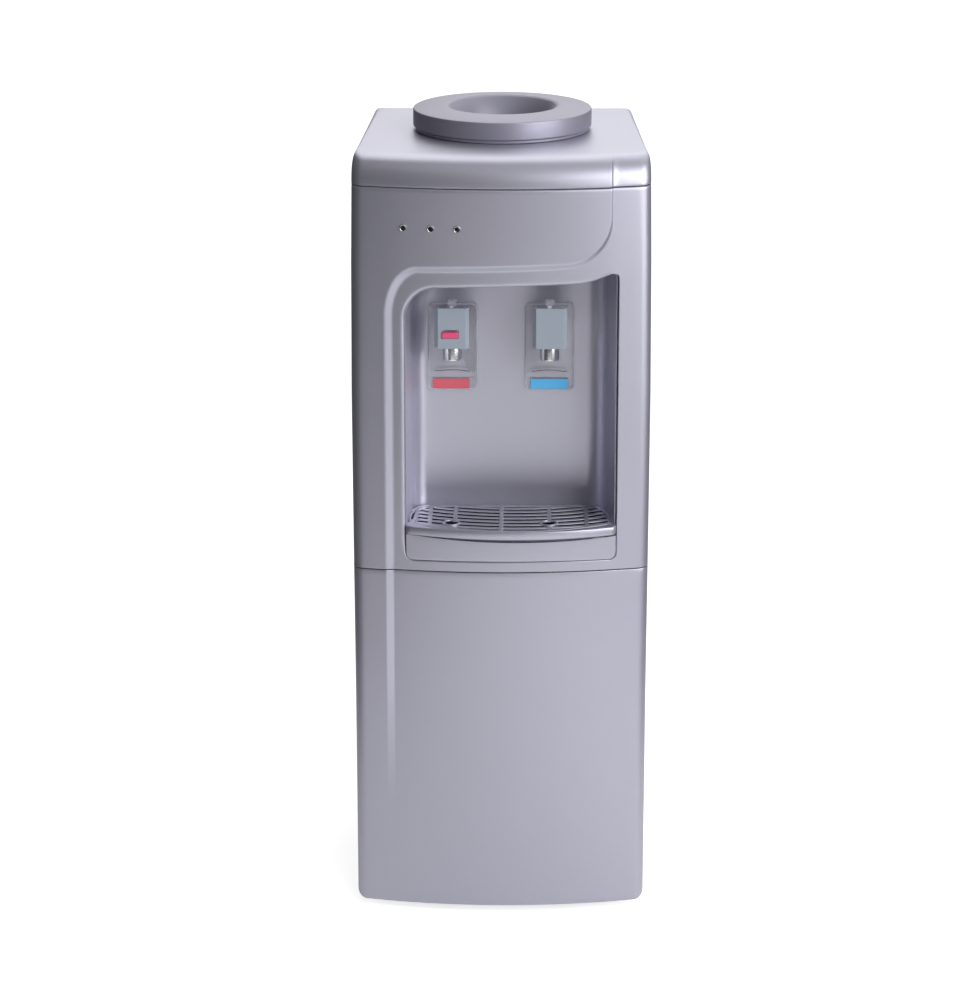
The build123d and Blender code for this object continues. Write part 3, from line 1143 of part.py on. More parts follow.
# Condenser: one serpentine tube with upright wires on both sides
WIRE_R = 0.8
WIRES = 15
row_step = (COND_Z[1] - COND_Z[0]) / (COND_ROWS - 1)
TAIL_JOINT = 12.0        # how far inside the last bend each end of the flat tube meets its tail
route = []
for row in range(COND_ROWS):
    side = 1 if row % 2 == 0 else -1
    z = COND_Z[1] - row * row_step
    route += [(side * COND_HALF, COND_PLANE, z), (-side * COND_HALF, COND_PLANE, z)]
route[0] = (COND_HALF - TAIL_JOINT, COND_PLANE, COND_Z[1])
route[-1] = (-COND_HALF + TAIL_JOINT, COND_PLANE, COND_Z[0])
with BuildPart() as condenser:
    add(pipe(route, [20.0] * (len(route) - 2), TUBE_R))
    reach = TUBE_R + WIRE_R + 0.05
    span = COND_HALF - 24
    for index in range(WIRES):
        x = -span + 2 * span * index / (WIRES - 1)
        for y in (COND_PLANE - reach, COND_PLANE + reach):
            add(round_bar((x, y, COND_Z[0] - 8), (x, y, COND_Z[1] + 8), WIRE_R))
hand_in(condenser.part, "condenser")

# Brackets that carry the condenser on the back panel
BRACKET_Z = (118.0, 512.0)
with BuildPart() as condenser_brackets:
    for side in (-1, 1):
        for z in BRACKET_Z:
            x = side * (COND_HALF - 24 - 7)
            near, far = BACK_Y, COND_PLANE + reach + WIRE_R
            with Locations((x, near, z)):
                Box(12, 1.5, 24, align=(Align.CENTER, Align.MIN, Align.CENTER))
            with Locations((x - side * 2, near, z)):
                Box(1.5, COND_PLANE - reach - WIRE_R - near - GAP, 24, align=(Align.CENTER, Align.MIN, Align.CENTER))
hand_in(condenser_brackets.part, "condenser_brackets")

# Filter drier on the end of the condenser
DRIER_LOW, DRIER_HIGH, DRIER_R = COND_Z[0] + 18, 190.0, 9.0
with BuildPart() as filter_drier:
    add(revolved([
        (0, DRIER_LOW), (TUBE_R + 1, DRIER_LOW), (TUBE_R + 1, DRIER_LOW + 8), (DRIER_R, DRIER_LOW + 18),
        (DRIER_R, DRIER_HIGH - 16), (3, DRIER_HIGH - 6), (3, DRIER_HIGH), (0, DRIER_HIGH),
    ], -COND_HALF, PIPE_D))
hand_in(filter_drier.part, "filter_drier")

# Discharge line, suction line and capillary between the shelves and the back panel, and the condenser's tails
PIPE_Y = FRONT_Y + PIPE_D
TAIL_BEND = 9.0
CAPILLARY_R = 1.0
stub_top = COMP_TOP + 6
with BuildPart() as refrigerant_pipes:
    x, y = DISCHARGE[0], FRONT_Y + DISCHARGE[1]
    add(pipe(
        [(x, y, stub_top), (x, y, 200), (x, PIPE_Y, 200), (COND_HALF, PIPE_Y, 200), (COND_HALF, PIPE_Y, COND_Z[1]),
         (COND_HALF, COND_PLANE, COND_Z[1]), (COND_HALF - TAIL_JOINT, COND_PLANE, COND_Z[1])],
        [14, 14, 14, TAIL_BEND, TAIL_BEND], TUBE_R,
    ))
    x, y = SUCTION[0], FRONT_Y + SUCTION[1]
    turn_up = TAIL_HIGH + end_way * ((PIPE_Y - TAIL_HIGH.Y) / end_way.Y)
    add(pipe(
        [(x, y, stub_top), (x, y, 235), (x, PIPE_Y, 235), (turn_up.X, PIPE_Y, 235), tuple(turn_up), tuple(TAIL_HIGH)],
        [14, 14, 14, 14], TUBE_R,
    ))
    add(pipe(
        [(TAIL_JOINT - COND_HALF, COND_PLANE, COND_Z[0]), (-COND_HALF, COND_PLANE, COND_Z[0]),
         (-COND_HALF, PIPE_Y, COND_Z[0]), (-COND_HALF, PIPE_Y, DRIER_LOW)],
        [TAIL_BEND, TAIL_BEND], TUBE_R,
    ))
    turn_low = TAIL_LOW - start_way * ((PIPE_Y - TAIL_LOW.Y) / -start_way.Y)
    add(pipe(
        [(-COND_HALF, PIPE_Y, DRIER_HIGH), (-COND_HALF, PIPE_Y, 225), (turn_low.X, PIPE_Y, 225),
         tuple(turn_low), tuple(TAIL_LOW)],
        [12, 12, 12], CAPILLARY_R,
    ))
hand_in(refrigerant_pipes.part, "refrigerant_pipes")

# Rocker switches in the back panel: hollow bezels, and rockers resting with their lower ends pressed in
BEZEL_T, BEZEL_DEPTH = 1.6, 15.0
ROCKER_W, ROCKER_HALF = 9.8, 7.6
ROCKER_DEG = 14.0
ROCKER_AXIS_Y = BACK_Y - 1.2
with BuildPart() as switch_bezels:
    for x in SWITCH_X:
        with Locations((x, BACK_Y, SWITCH_Z)):
            Box(SWITCH_W + 2.6, BEZEL_T, SWITCH_H + 2.4, align=(Align.CENTER, Align.MIN, Align.CENTER))
            Box(SWITCH_W - 0.4, BEZEL_DEPTH, SWITCH_H - 0.4, align=(Align.CENTER, Align.MAX, Align.CENTER))
    for x in SWITCH_X:
        with Locations((x, BACK_Y + 5, SWITCH_Z)):
            Box(SWITCH_W - 2.4, BEZEL_DEPTH + 3, SWITCH_H - 2.4, align=(Align.CENTER, Align.MAX, Align.CENTER),
                mode=Mode.SUBTRACT)
        add(round_bar((x - 6, ROCKER_AXIS_Y, SWITCH_Z), (x + 6, ROCKER_AXIS_Y, SWITCH_Z), 1.2))
hand_in(switch_bezels.part, "switch_bezels")

for x, name in zip(SWITCH_X, ("hot_switch_rocker", "cold_switch_rocker")):
    with BuildPart() as rocker:
        with BuildSketch(Plane.YZ):
            with BuildLine():
                Polyline(
                    (-3.5, -4), (-3.5, 4), (0.8, ROCKER_HALF), (3.9, ROCKER_HALF), (3.0, 0),
                    (3.9, -ROCKER_HALF), (0.8, -ROCKER_HALF), close=True,
                )
            make_face()
            Circle(1.25, mode=Mode.SUBTRACT)
        extrude(amount=ROCKER_W / 2, both=True)
    hand_in(Pos(x, ROCKER_AXIS_Y, SWITCH_Z) * Rot(-ROCKER_DEG / 2, 0, 0) * rocker.part, name)


def front_depth(x):
    """Depth of the raised front at x, which is less than nothing where it stands before its corners."""
    radius = (HALF**2 + BOW**2) / (2 * BOW)
    return sqrt(radius**2 - HALF**2) - sqrt(radius**2 - x**2)


# Indicator lamps through the front, soldered to one board behind it
BOARD_D, BOARD_T = -1.0, 1.6
with BuildPart() as indicator_lamps:
    for x in LAMP_X:
        y = FRONT_Y + front_depth(x)
        add(round_bar((x, y - 0.6, LAMP_Z), (x, FRONT_Y + BOARD_D, LAMP_Z), LAMP_R - GAP))
    chamfer(indicator_lamps.faces().filter_by(Axis.Y).group_by(Axis.Y)[0].edges(), 0.5)
hand_in(indicator_lamps.part, "indicator_lamps")

with BuildPart() as lamp_board:
    with Locations(((LAMP_X[0] + LAMP_X[2]) / 2, FRONT_Y + BOARD_D, LAMP_Z)):
        Box(LAMP_X[2] - LAMP_X[0] + 20, BOARD_T, 18, align=(Align.CENTER, Align.MIN, Align.CENTER))
        with GridLocations(66, 0, 2, 1):
            Cylinder(1.7, 20, rotation=(90, 0, 0), mode=Mode.SUBTRACT)
hand_in(lamp_board.part, "lamp_board")

# Screws through the back panel into the side panels
with BuildPart() as back_panel_screws:
    for side in (-1, 1):
        for z in SCREW_Z:
            x = side * SCREW_X
            add(round_bar((x, BACK_Y - 8, z), (x, BACK_Y, z), SCREW_R))
            add(round_bar((x, BACK_Y, z), (x, BACK_Y + 2.2, z), 3.6))
    heads = back_panel_screws.faces().filter_by(Axis.Y).group_by(Axis.Y)[-1]
    chamfer(heads.edges(), 0.8)
    for side in (-1, 1):
        for z in SCREW_Z:
            for length, height in ((4.2, 0.9), (0.9, 4.2)):
                with Locations((side * SCREW_X, BACK_Y + 2.2, z)):
                    Box(length, 2.4, height, mode=Mode.SUBTRACT)
hand_in(back_panel_screws.part, "back_panel_screws")

print(f"{len(NODES)} pieces written")
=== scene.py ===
import json
from math import cos, pi, radians, sin, sqrt

import bmesh
import bpy
import numpy as np
from bpy.props import FloatProperty, FloatVectorProperty, PointerProperty
from bpy.types import Operator, Panel, PropertyGroup
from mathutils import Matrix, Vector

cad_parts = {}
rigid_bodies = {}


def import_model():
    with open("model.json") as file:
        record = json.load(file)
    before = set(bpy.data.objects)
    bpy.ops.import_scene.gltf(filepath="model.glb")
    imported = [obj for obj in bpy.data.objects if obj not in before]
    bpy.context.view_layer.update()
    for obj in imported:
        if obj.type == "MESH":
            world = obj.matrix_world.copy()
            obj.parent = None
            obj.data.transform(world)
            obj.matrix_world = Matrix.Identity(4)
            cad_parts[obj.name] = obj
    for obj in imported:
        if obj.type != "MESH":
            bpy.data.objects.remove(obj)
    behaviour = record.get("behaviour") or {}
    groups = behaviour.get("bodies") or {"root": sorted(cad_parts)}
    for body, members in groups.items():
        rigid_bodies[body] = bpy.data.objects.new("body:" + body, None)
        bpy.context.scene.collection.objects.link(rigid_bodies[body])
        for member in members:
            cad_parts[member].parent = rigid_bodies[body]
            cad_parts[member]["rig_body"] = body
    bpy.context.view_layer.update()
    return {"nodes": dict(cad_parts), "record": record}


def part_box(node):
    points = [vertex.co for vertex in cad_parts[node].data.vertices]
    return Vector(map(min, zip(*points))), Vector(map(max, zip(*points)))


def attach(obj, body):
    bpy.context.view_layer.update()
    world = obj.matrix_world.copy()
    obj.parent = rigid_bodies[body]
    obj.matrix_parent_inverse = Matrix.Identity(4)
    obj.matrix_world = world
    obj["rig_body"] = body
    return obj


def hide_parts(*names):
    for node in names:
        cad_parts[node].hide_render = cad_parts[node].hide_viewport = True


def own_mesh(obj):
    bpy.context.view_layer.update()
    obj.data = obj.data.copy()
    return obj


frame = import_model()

# A free-standing top-loading water dispenser. Metres, +Z up, the front faces -Y.
# A depth is counted from the plane of the cabinet's two front corners towards the back.

bl_info = {
    "name": "Top-loading water dispenser",
    "version": (1, 0, 0),
    "blender": (4, 5, 0),
    "location": "View3D > Sidebar > Dispenser",
    "description": "Moulded shells, taps, tray and finishes of a free-standing water dispenser",
    "category": "Add Mesh",
}

NODES = frame["nodes"]

# Cabinet, from the frame
LOWER_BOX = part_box("lower_front_panel")
UPPER_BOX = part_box("front_upper_panel")
COVER_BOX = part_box("top_cover")
SEAT_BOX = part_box("bottle_seat")
BACK_Y = COVER_BOX[1].y
BODY_DEPTH = 0.290
FRONT_Y = BACK_Y - BODY_DEPTH
BOW = FRONT_Y - UPPER_BOX[0].y
HALF = 0.1554
BACK_HALF = 0.1450
CORNER_R = 0.014
RETURN_D = 0.042
PANEL_BOTTOM = LOWER_BOX[0].z
SEAM_DROP = 0.0014
LOWER_TOP = LOWER_BOX[1].z - SEAM_DROP
UPPER_LOW = UPPER_BOX[0].z - SEAM_DROP
UPPER_TOP = UPPER_BOX[1].z
COVER_LOW = COVER_BOX[0].z
TOP_Z = COVER_BOX[1].z
SHOULDER_D = 0.030
SHOULDER_S = 0.005
FRONT_R = (HALF**2 + BOW**2) / (2 * BOW)

# Raised field and tap recess, seen from the front
FIELD_RIGHT = 0.1135
FIELD_LEFT = -0.1220
FIELD_LOW = 0.7230
FIELD_R = 0.047
NICHE_LEFT = -0.1008
NICHE_RIGHT = 0.1223
NICHE_BOTTOM = 0.4005
NICHE_TOP = 0.6958
NICHE_RISE = 0.014
NICHE_CORNER_R = 0.034
NICHE_FOOT_R = 0.008
NICHE_TIP_R = 0.004
NICHE_BEND_X = 0.070
NICHE_D = 0.072
NICHE_SLOPE = 8.5 / 60

# Bottle seat
SEAT_Y = (SEAT_BOX[0].y + SEAT_BOX[1].y) / 2
SEAT_R = SEAT_BOX[1].x
SEAT_TOP = SEAT_BOX[1].z
NECK_R = 0.0295
NECK_Z = 0.815
RIM_R = 0.0605
COLLAR_Z = 0.8358

# Taps and lamps
TAP_X = (-0.0519, 0.0511)
TAP_Y = FRONT_Y + 0.044
ESCUTCHEON_W = 0.0532
LEDGE_Z = 0.5882
HOT_LABEL_FROM, HOT_LABEL_CUT = -0.0320, 0.0034
WARM_LAMP_X = -0.0726

# Tray and grille
TRAY_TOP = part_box("drip_tray")[1].z - SEAM_DROP
LIP_H = 0.0088
LIP_X = 0.012
LIP_R = 0.288
LIP_Y = FRONT_Y - 0.034 + LIP_R
GRILLE_R = 0.191
GRILLE_Y = FRONT_Y - 0.0305 + GRILLE_R
GRILLE_LEFT = -0.0975
GRILLE_RIGHT = 0.1192
GRILLE_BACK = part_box("drip_grille")[1].y
GRILLE_CORNER = (0.023, 0.046)
SLOT_R = 0.2767
SLOT_PITCH = 0.0122
SLOT_W = 0.0056
SLOT_ROWS = 8
RIB_X = (-0.0754, -0.0487, 0.0004, 0.0514, 0.0908)
RIB_W = 0.0042
BORDER = 0.0052
RING_X = (-0.0527, 0.0507)
RING_Y = FRONT_Y + 0.001
RING_R = 0.009

# Steps of the tray's and grille's plan: along the bow, round a nip at its ends, and up a side
BOW_STEPS, NIP_STEPS, SIDE_STEPS = 110, 7, 8

# Camera, fitted to the cabinet's outline
EYE = (0.025727, -3.79102, 1.53507)
EYE_DOWN, EYE_TURN = 0.2850172, 0.0109209
SENSOR_W, FOCAL_PX, FRAME_PX = 36.0, 3600, 975

WELD = 2e-6


def linear(*rgb):
    """A colour given as 0 to 255 screen values, as the linear values that a shader takes."""
    c = np.array(rgb) / 255
    return tuple(float(v) for v in np.where(c <= 0.04045, c / 12.92, ((c + 0.055) / 1.055) ** 2.4))


def length(name, words, default):
    """A size in metres that a user may change."""
    return FloatProperty(name=name, description=words, default=default, unit="LENGTH", precision=4)


def colour(name, words, *rgb):
    """A colour that a user may change, given as screen values."""
    return FloatVectorProperty(
        name=name, description=words, default=linear(*rgb), size=3, subtype="COLOR", min=0, max=1)


class DispenserSizes(PropertyGroup):
    """Sizes of the moulded front that can be changed without the frame."""

    step: length("Field height", "How far the raised field stands over the rest of the front", 0.0035)
    bevel_side: length("Side bevel", "Width of the raised field's bevel down the left side", 0.0092)
    bevel_top: length("Top bevel", "Width of the raised field's bevel over the recess", 0.0065)
    bevel_line: length("Line bevel", "Width of the raised field's step where it runs up to the top", 0.0022)
    rim_width: length("Rim width", "Width of the rounding round the tap recess", 0.0046)
    rim_depth: length("Rim depth", "Depth of the rounding round the tap recess", 0.0030)
    cove: length("Recess cove", "Radius between the side walls and the back of the tap recess", 0.020)
    foot_cove: length("Recess foot", "Radius between the back and the floor of the tap recess", 0.030)
    seam_round: length("Seam rounding", "Rounding of the mouldings' edges at the seams", 0.0007)


class DispenserColours(PropertyGroup):
    """Colours of the dispenser's finishes."""

    shell: colour("Shell", "Silver-lilac lacquer of the mouldings", 184, 183, 197)
    recess: colour("Recess", "Grey of the tap recess", 200, 199, 213)
    seat: colour("Seat", "Slate of the bottle seat", 147, 145, 160)
    paddle: colour("Paddle", "Blue-grey of the tap paddles", 139, 148, 159)
    button: colour("Button", "Red of the lock button", 205, 74, 118)
    hot: colour("Hot strip", "Red strip under the hot tap", 198, 87, 101)
    cold: colour("Cold strip", "Blue strip under the cold tap", 88, 178, 232)
    sheet: colour("Sheet", "Painted steel of the sides and back", 168, 168, 180)


# Shader building


def socket_name(key):
    """The shader's name of a socket that is written with underscores."""
    return "IOR" if key == "ior" else key.replace("_", " ").title()


class Value:
    """A shader socket in sums: an expression on values adds its Math nodes."""

    def __init__(self, finish, socket):
        self.finish = finish
        self.socket = socket

    def math(self, operation, first, second=None):
        """One Math node on two values, either of which may be a number."""
        inputs = {0: first} if second is None else {0: first, 1: second}
        return self.finish.add("ShaderNodeMath", {"operation": operation}, inputs)

    def __add__(self, other):
        return self.math("ADD", self, other)

    def __radd__(self, other):
        return self.math("ADD", other, self)

    def __sub__(self, other):
        return self.math("SUBTRACT", self, other)

    def __rsub__(self, other):
        return self.math("SUBTRACT", other, self)

    def __mul__(self, other):
        return self.math("MULTIPLY", self, other)

    def __rmul__(self, other):
        return self.math("MULTIPLY", other, self)

    def clamp(self):
        """The value held between 0 and 1."""
        return self.finish.add("ShaderNodeClamp", {}, {"Value": self})


class Finish:
    """A material being built from nodes."""

    def __init__(self, name, **constants):
        self.material = bpy.data.materials.new(name)
        self.material.use_nodes = True
        self.tree = self.material.node_tree
        self.shader = self.tree.nodes["Principled BSDF"]
        for key, value in constants.items():
            self.shader.inputs[socket_name(key)].default_value = value

    def add(self, kind, settings, inputs, output=0):
        """A node of a kind, its settings made first, then the values or links of its sockets."""
        node = self.tree.nodes.new(kind)
        for key, value in settings.items():
            setattr(node, key, value)
        for key, value in inputs.items():
            self.put(node.inputs[key], value)
        return Value(self, node.outputs[output])

    def put(self, socket, value):
        """A value or a link for one socket."""
        if isinstance(value, Value):
            self.tree.links.new(value.socket, socket)
        else:
            socket.default_value = value

    def place(self):
        """Where a point of the piece is, in metres."""
        return self.add("ShaderNodeTexCoord", {}, {}, "Object")

    def noise(self, per_metre, detail=2.0, roughness=0.5):
        """Soft noise from 0 to 1 with that many waves to the metre."""
        return self.add("ShaderNodeTexNoise", {}, {
            "Vector": self.place(), "Scale": per_metre, "Detail": detail, "Roughness": roughness,
        }, "Fac")

    def cells(self, per_metre):
        """A value from 0 to 1 that changes from one small cell to the next."""
        colour = self.add("ShaderNodeTexVoronoi", {}, {"Vector": self.place(), "Scale": per_metre}, "Color")
        return self.add("ShaderNodeSeparateColor", {}, {"Color": colour}, "Red")

    def blend(self, share, first, second):
        """One colour turning into another as share goes from 0 to 1."""
        ends = {6: (*first, 1), 7: (*second, 1)}
        return self.add("ShaderNodeMix", {"data_type": "RGBA"}, {0: share, **ends}, 2)

    def bump(self, height, strength, distance):
        """A normal from a height in units of distance."""
        values = {"Height": height, "Strength": strength, "Distance": distance}
        return self.add("ShaderNodeBump", {}, values)

    def feed(self, **links):
        """Sockets of the shader, by their names with underscores."""
        for key, value in links.items():
            self.put(self.shader.inputs[socket_name(key)], value)
        return self.material


def shade(rgb, factor):
    """A colour made lighter or darker."""
    return tuple(min(1.0, c * factor) for c in rgb)


def lacquer(name, rgb, rough, metal, coat, flake=0.05, ripple=0.06):
    """Metallic lacquer on plastic: fine flakes, an uneven depth of colour and a slight ripple."""
    f = Finish(name, metallic=metal, coat_weight=coat, coat_roughness=0.3)
    flakes = f.cells(5200)
    cloud = f.noise(14, 3)
    wear = f.noise(160, 4, 0.6)
    share = flakes * 0.6 + cloud * 0.4
    base = f.blend(share, shade(rgb, 1 - flake), shade(rgb, 1 + flake))
    roughness = rough + wear * 0.07 - 0.035 + cloud * 0.03
    return f.feed(base_color=base, roughness=roughness, normal=f.bump(f.noise(420, 2), ripple, 0.0002))


def moulded(name, rgb, rough, grain=900, depth=0.12, tone=0.06, **constants):
    """Moulded plastic: fine spark-eroded grain, faint flow marks and handling sheen."""
    f = Finish(name, **constants)
    cloud = f.noise(22, 3)
    fine = f.noise(grain, 3, 0.6)
    base = f.blend(cloud * 0.7 + fine * 0.3, shade(rgb, 1 - tone), shade(rgb, 1 + tone))
    return f.feed(base_color=base, roughness=rough + fine * 0.1 - 0.05, normal=f.bump(fine, depth, 0.0003))


def metal(name, rgb, rough, tone=0.08, **constants):
    """Bare or plated metal with fine drawing streaks along Z and a dull patch here and there."""
    f = Finish(name, metallic=1.0, **constants)
    stretched = f.add("ShaderNodeMapping", {}, {"Vector": f.place(), "Scale": (1200, 1200, 50)})
    streaks = f.add("ShaderNodeTexNoise", {}, {"Vector": stretched, "Scale": 1.0, "Detail": 3.0}, "Fac")
    patch = f.noise(60, 3)
    base = f.blend(streaks * 0.5 + patch * 0.5, shade(rgb, 1 - tone), shade(rgb, 1 + tone))
    return f.feed(base_color=base, roughness=rough + patch * 0.1 + streaks * 0.06 - 0.06)


def spangle(name, rgb):
    """Galvanised sheet: zinc crystals that differ in tone and gloss."""
    f = Finish(name, metallic=0.9)
    crystals = f.cells(130)
    base = f.blend(crystals, shade(rgb, 0.86), shade(rgb, 1.1))
    return f.feed(base_color=base, roughness=crystals * 0.2 + 0.38)


def soft(name, rgb, rough, scale, depth):
    """Foam or rubber: pitted, with tone that follows the pits."""
    f = Finish(name)
    pits = f.noise(scale, 4, 0.65)
    base = f.blend(pits, shade(rgb, 0.85), shade(rgb, 1.12))
    return f.feed(base_color=base, roughness=rough + pits * 0.08, normal=f.bump(pits, depth, 0.0006))


def clear(name, rgb, body=0.03):
    """Clear moulded plastic: body is how dense it is face on; it is glossy and denser at its edges."""
    f = Finish(name, ior=1.45, coat_weight=0.4, coat_roughness=0.05)
    edge = f.add("ShaderNodeLayerWeight", {}, {"Blend": 0.35}, "Facing")
    haze = f.noise(90, 2)
    base = f.blend(haze, shade(rgb, 0.96), rgb)
    alpha = (edge * 0.8 + body + haze * 0.03).clamp()
    return f.feed(base_color=base, roughness=haze * 0.06 + 0.08, alpha=alpha)


def circuit(name):
    """Green board laminate with a faint weave."""
    f = Finish(name)
    weave = f.add("ShaderNodeTexWave", {}, {"Vector": f.place(), "Scale": 900.0, "Distortion": 0.4}, "Fac")
    base = f.blend(weave, linear(18, 70, 44), linear(26, 88, 56))
    return f.feed(base_color=base, roughness=weave * 0.1 + 0.45)


def make_finishes(colours):
    """Makes all finishes: a row is a function, the record's slot name, its values and any fixed sockets."""
    rows = (
        (lacquer, "silver_shell", colours.shell, 0.42, 0.84, 0.1),
        (lacquer, "recess_grey", colours.recess, 0.38, 0.88, 0.08, 0.04, 0.04),
        (lacquer, "tray_silver", colours.shell, 0.38, 0.82, 0.1),
        (lacquer, "grille_grey", shade(colours.recess, 0.95), 0.36, 0.8, 0.1),
        (lacquer, "seat_slate", colours.seat, 0.44, 0.52, 0.10, 0.03, 0.03),
        (lacquer, "painted_sheet", colours.sheet, 0.42, 0.25, 0.1, 0.03, 0.18),
        (moulded, "paddle_grey", colours.paddle, 0.34, 1100, 0.06),
        (moulded, "button_red", colours.button, 0.3, 1400, 0.04, {"coat_weight": 0.4}),
        (moulded, "label_red", colours.hot, 0.4, 1500, 0.05),
        (moulded, "label_blue", colours.cold, 0.4, 1500, 0.05),
        (clear, "clear_plastic", linear(226, 226, 232)),
        (clear, "frosted", linear(214, 214, 226), 0.34),
        # Dark smoky plastic for the ledges over the strips: a painted shade line
        (clear, "smoky", linear(92, 90, 102), 0.6),
        (metal, "chrome", linear(226, 228, 232), 0.16, 0.03),
        (metal, "tube_chrome", linear(228, 230, 234), 0.23, 0.03, {"specular_tint": (0, 0, 0, 1)}),
        (moulded, "white_plastic", linear(222, 222, 218), 0.42),
        (metal, "stainless", linear(190, 190, 192), 0.28),
        (metal, "copper", linear(196, 124, 88), 0.3, 0.12),
        (spangle, "galvanised", linear(168, 172, 176)),
        (soft, "foam", linear(226, 220, 196), 0.85, 420, 0.5),
        (soft, "rubber_black", linear(30, 30, 32), 0.62, 900, 0.15),
        (soft, "silicone", linear(206, 208, 204), 0.4, 500, 0.05),
        (moulded, "black_paint", linear(28, 28, 30), 0.38, 500, 0.12, 0.2),
        (moulded, "black_plastic", linear(24, 24, 26), 0.42, 1000, 0.15, 0.15),
        (moulded, "switch_red", linear(190, 36, 40), 0.3, 1200, 0.05),
        (moulded, "switch_green", linear(36, 140, 70), 0.3, 1200, 0.05),
        (moulded, "lamp", linear(22, 22, 26), 0.12, 1500, 0.02, {"coat_weight": 0.8, "coat_roughness": 0.04}),
        (circuit, "board"),
    )
    for make, name, *values in rows:
        constants = values.pop() if values and isinstance(values[-1], dict) else {}
        FINISHES[name] = make(name, *values, **constants)


FINISHES = {}
SLOT_OF = {part["node"]: part["material_slot"] for part in frame["record"]["subparts"]}


# Mesh building


def quads(grid, first=0, closed=False):
    """Corners of the quads between a grid's rows and columns; closed joins its last column to its first."""
    index = first + np.arange(grid.shape[0] * grid.shape[1]).reshape(grid.shape[:2])
    if closed:
        index = np.hstack([index, index[:, :1]])
    corners = index[:-1, :-1], index[:-1, 1:], index[1:, 1:], index[1:, :-1]
    return np.stack(corners, -1).reshape(-1, 4)


def piece(name, grids, slot, body, stands_for=(), heart=None, hollow=False, closed=True,
          wall=0.0, sharp=35.0, drop=None, finish=None):
    """One object from grids of points, welded where they meet, its faces turned away from heart or outwards.

    closed joins each grid's last column to its first, hollow turns the faces towards heart, wall gives the
    skin a thickness behind it, drop is a mask of quads left out, sharp is the angle of its hard edges in
    degrees, or 0 for flat faces, and finish stands in for the slot's own."""
    points, faces, first = [], [], 0
    for grid in grids:
        grid = np.asarray(grid, float)
        points.append(grid.reshape(-1, 3))
        faces.append(quads(grid, first, closed))
        first += len(points[-1])
    points, faces = np.vstack(points), np.vstack(faces)
    if drop is not None:
        faces = faces[~drop.reshape(-1)]
    mesh = bpy.data.meshes.new(name)
    mesh.vertices.add(len(points))
    mesh.vertices.foreach_set("co", points.ravel())
    mesh.loops.add(faces.size)
    mesh.loops.foreach_set("vertex_index", faces.ravel().astype(np.int32))
    mesh.polygons.add(len(faces))
    mesh.polygons.foreach_set("loop_start", np.arange(0, faces.size, 4, dtype=np.int32))
    mesh.update(calc_edges=True)
    tidy(mesh, heart is None)
    if heart is not None:
        count = len(mesh.polygons)
        centre, normal, area = np.zeros(count * 3), np.zeros(count * 3), np.zeros(count)
        mesh.polygons.foreach_get("center", centre)
        mesh.polygons.foreach_get("normal", normal)
        mesh.polygons.foreach_get("area", area)
        away = ((centre.reshape(-1, 3) - np.array(heart)) * normal.reshape(-1, 3)).sum(1) * area
        if (away.sum() < 0) != hollow:
            mesh.flip_normals()
    obj = place_object(name, mesh, slot, body, stands_for, sharp, finish)
    if wall:
        solid = obj.modifiers.new("wall", "SOLIDIFY")
        solid.thickness, solid.offset = wall, -1
    return obj


def tidy(mesh, outwards):
    """Welds doubles, drops faces with no area and loose points; outwards turns a closed skin's faces out."""
    work = bmesh.new()
    work.from_mesh(mesh)
    bmesh.ops.remove_doubles(work, verts=work.verts, dist=WELD)
    bmesh.ops.dissolve_degenerate(work, edges=work.edges, dist=WELD / 4)
    bmesh.ops.delete(work, geom=[v for v in work.verts if not v.link_faces], context="VERTS")
    if outwards:
        bmesh.ops.recalc_face_normals(work, faces=work.faces)
    work.to_mesh(mesh)
    work.free()


def place_object(name, mesh, slot, body, stands_for, sharp, finish=None):
    """Shades a mesh smooth but for its sharp edges, gives it its finish and lets it ride on its body."""
    if sharp:
        mesh.shade_smooth()
        mesh.set_sharp_from_angle(angle=radians(sharp))
    mesh.materials.clear()
    mesh.materials.append(FINISHES[finish or slot])
    obj = bpy.data.objects.new(name, mesh)
    bpy.context.scene.collection.objects.link(obj)
    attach(obj, body)
    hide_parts(*stands_for)
    return obj


def softened(node, round_off=0.0, sharp=32.0, name=None, finish=None):
    """A merged copy of a CAD node with its flat faces joined and its edges broken by a small rounding."""
    mesh = NODES[node].data.copy()
    work = bmesh.new()
    work.from_mesh(mesh)
    bmesh.ops.remove_doubles(work, verts=work.verts, dist=WELD)
    bmesh.ops.dissolve_limit(work, angle_limit=radians(1), verts=work.verts, edges=work.edges)
    work.to_mesh(mesh)
    work.free()
    name = name or node + "_finished"
    obj = place_object(name, mesh, SLOT_OF[node], NODES[node]["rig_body"], [node], sharp, finish)
    if round_off:
        bevel = obj.modifiers.new("edges", "BEVEL")
        bevel.width, bevel.segments, bevel.limit_method = round_off, 2, "ANGLE"
        bevel.angle_limit = radians(sharp)
    return obj


def turned(profile, x, y, around):
    """A profile of (radius, height) points carried round an upright axis, as rows of the profile."""
    profile = np.asarray(profile, float)
    angle = np.linspace(0, 2 * pi, around, endpoint=False)
    grid = np.empty((len(profile), around, 3))
    grid[..., 0] = x + profile[:, :1] * np.cos(angle)
    grid[..., 1] = y + profile[:, :1] * np.sin(angle)
    grid[..., 2] = profile[:, 1:]
    return grid


def quadratic(t, start, pull, end):
    """Points at shares t of a curve that leaves start for pull and comes to end from pull."""
    return (1 - t) ** 2 * np.asarray(start) + 2 * t * (1 - t) * np.asarray(pull) + t**2 * np.asarray(end)


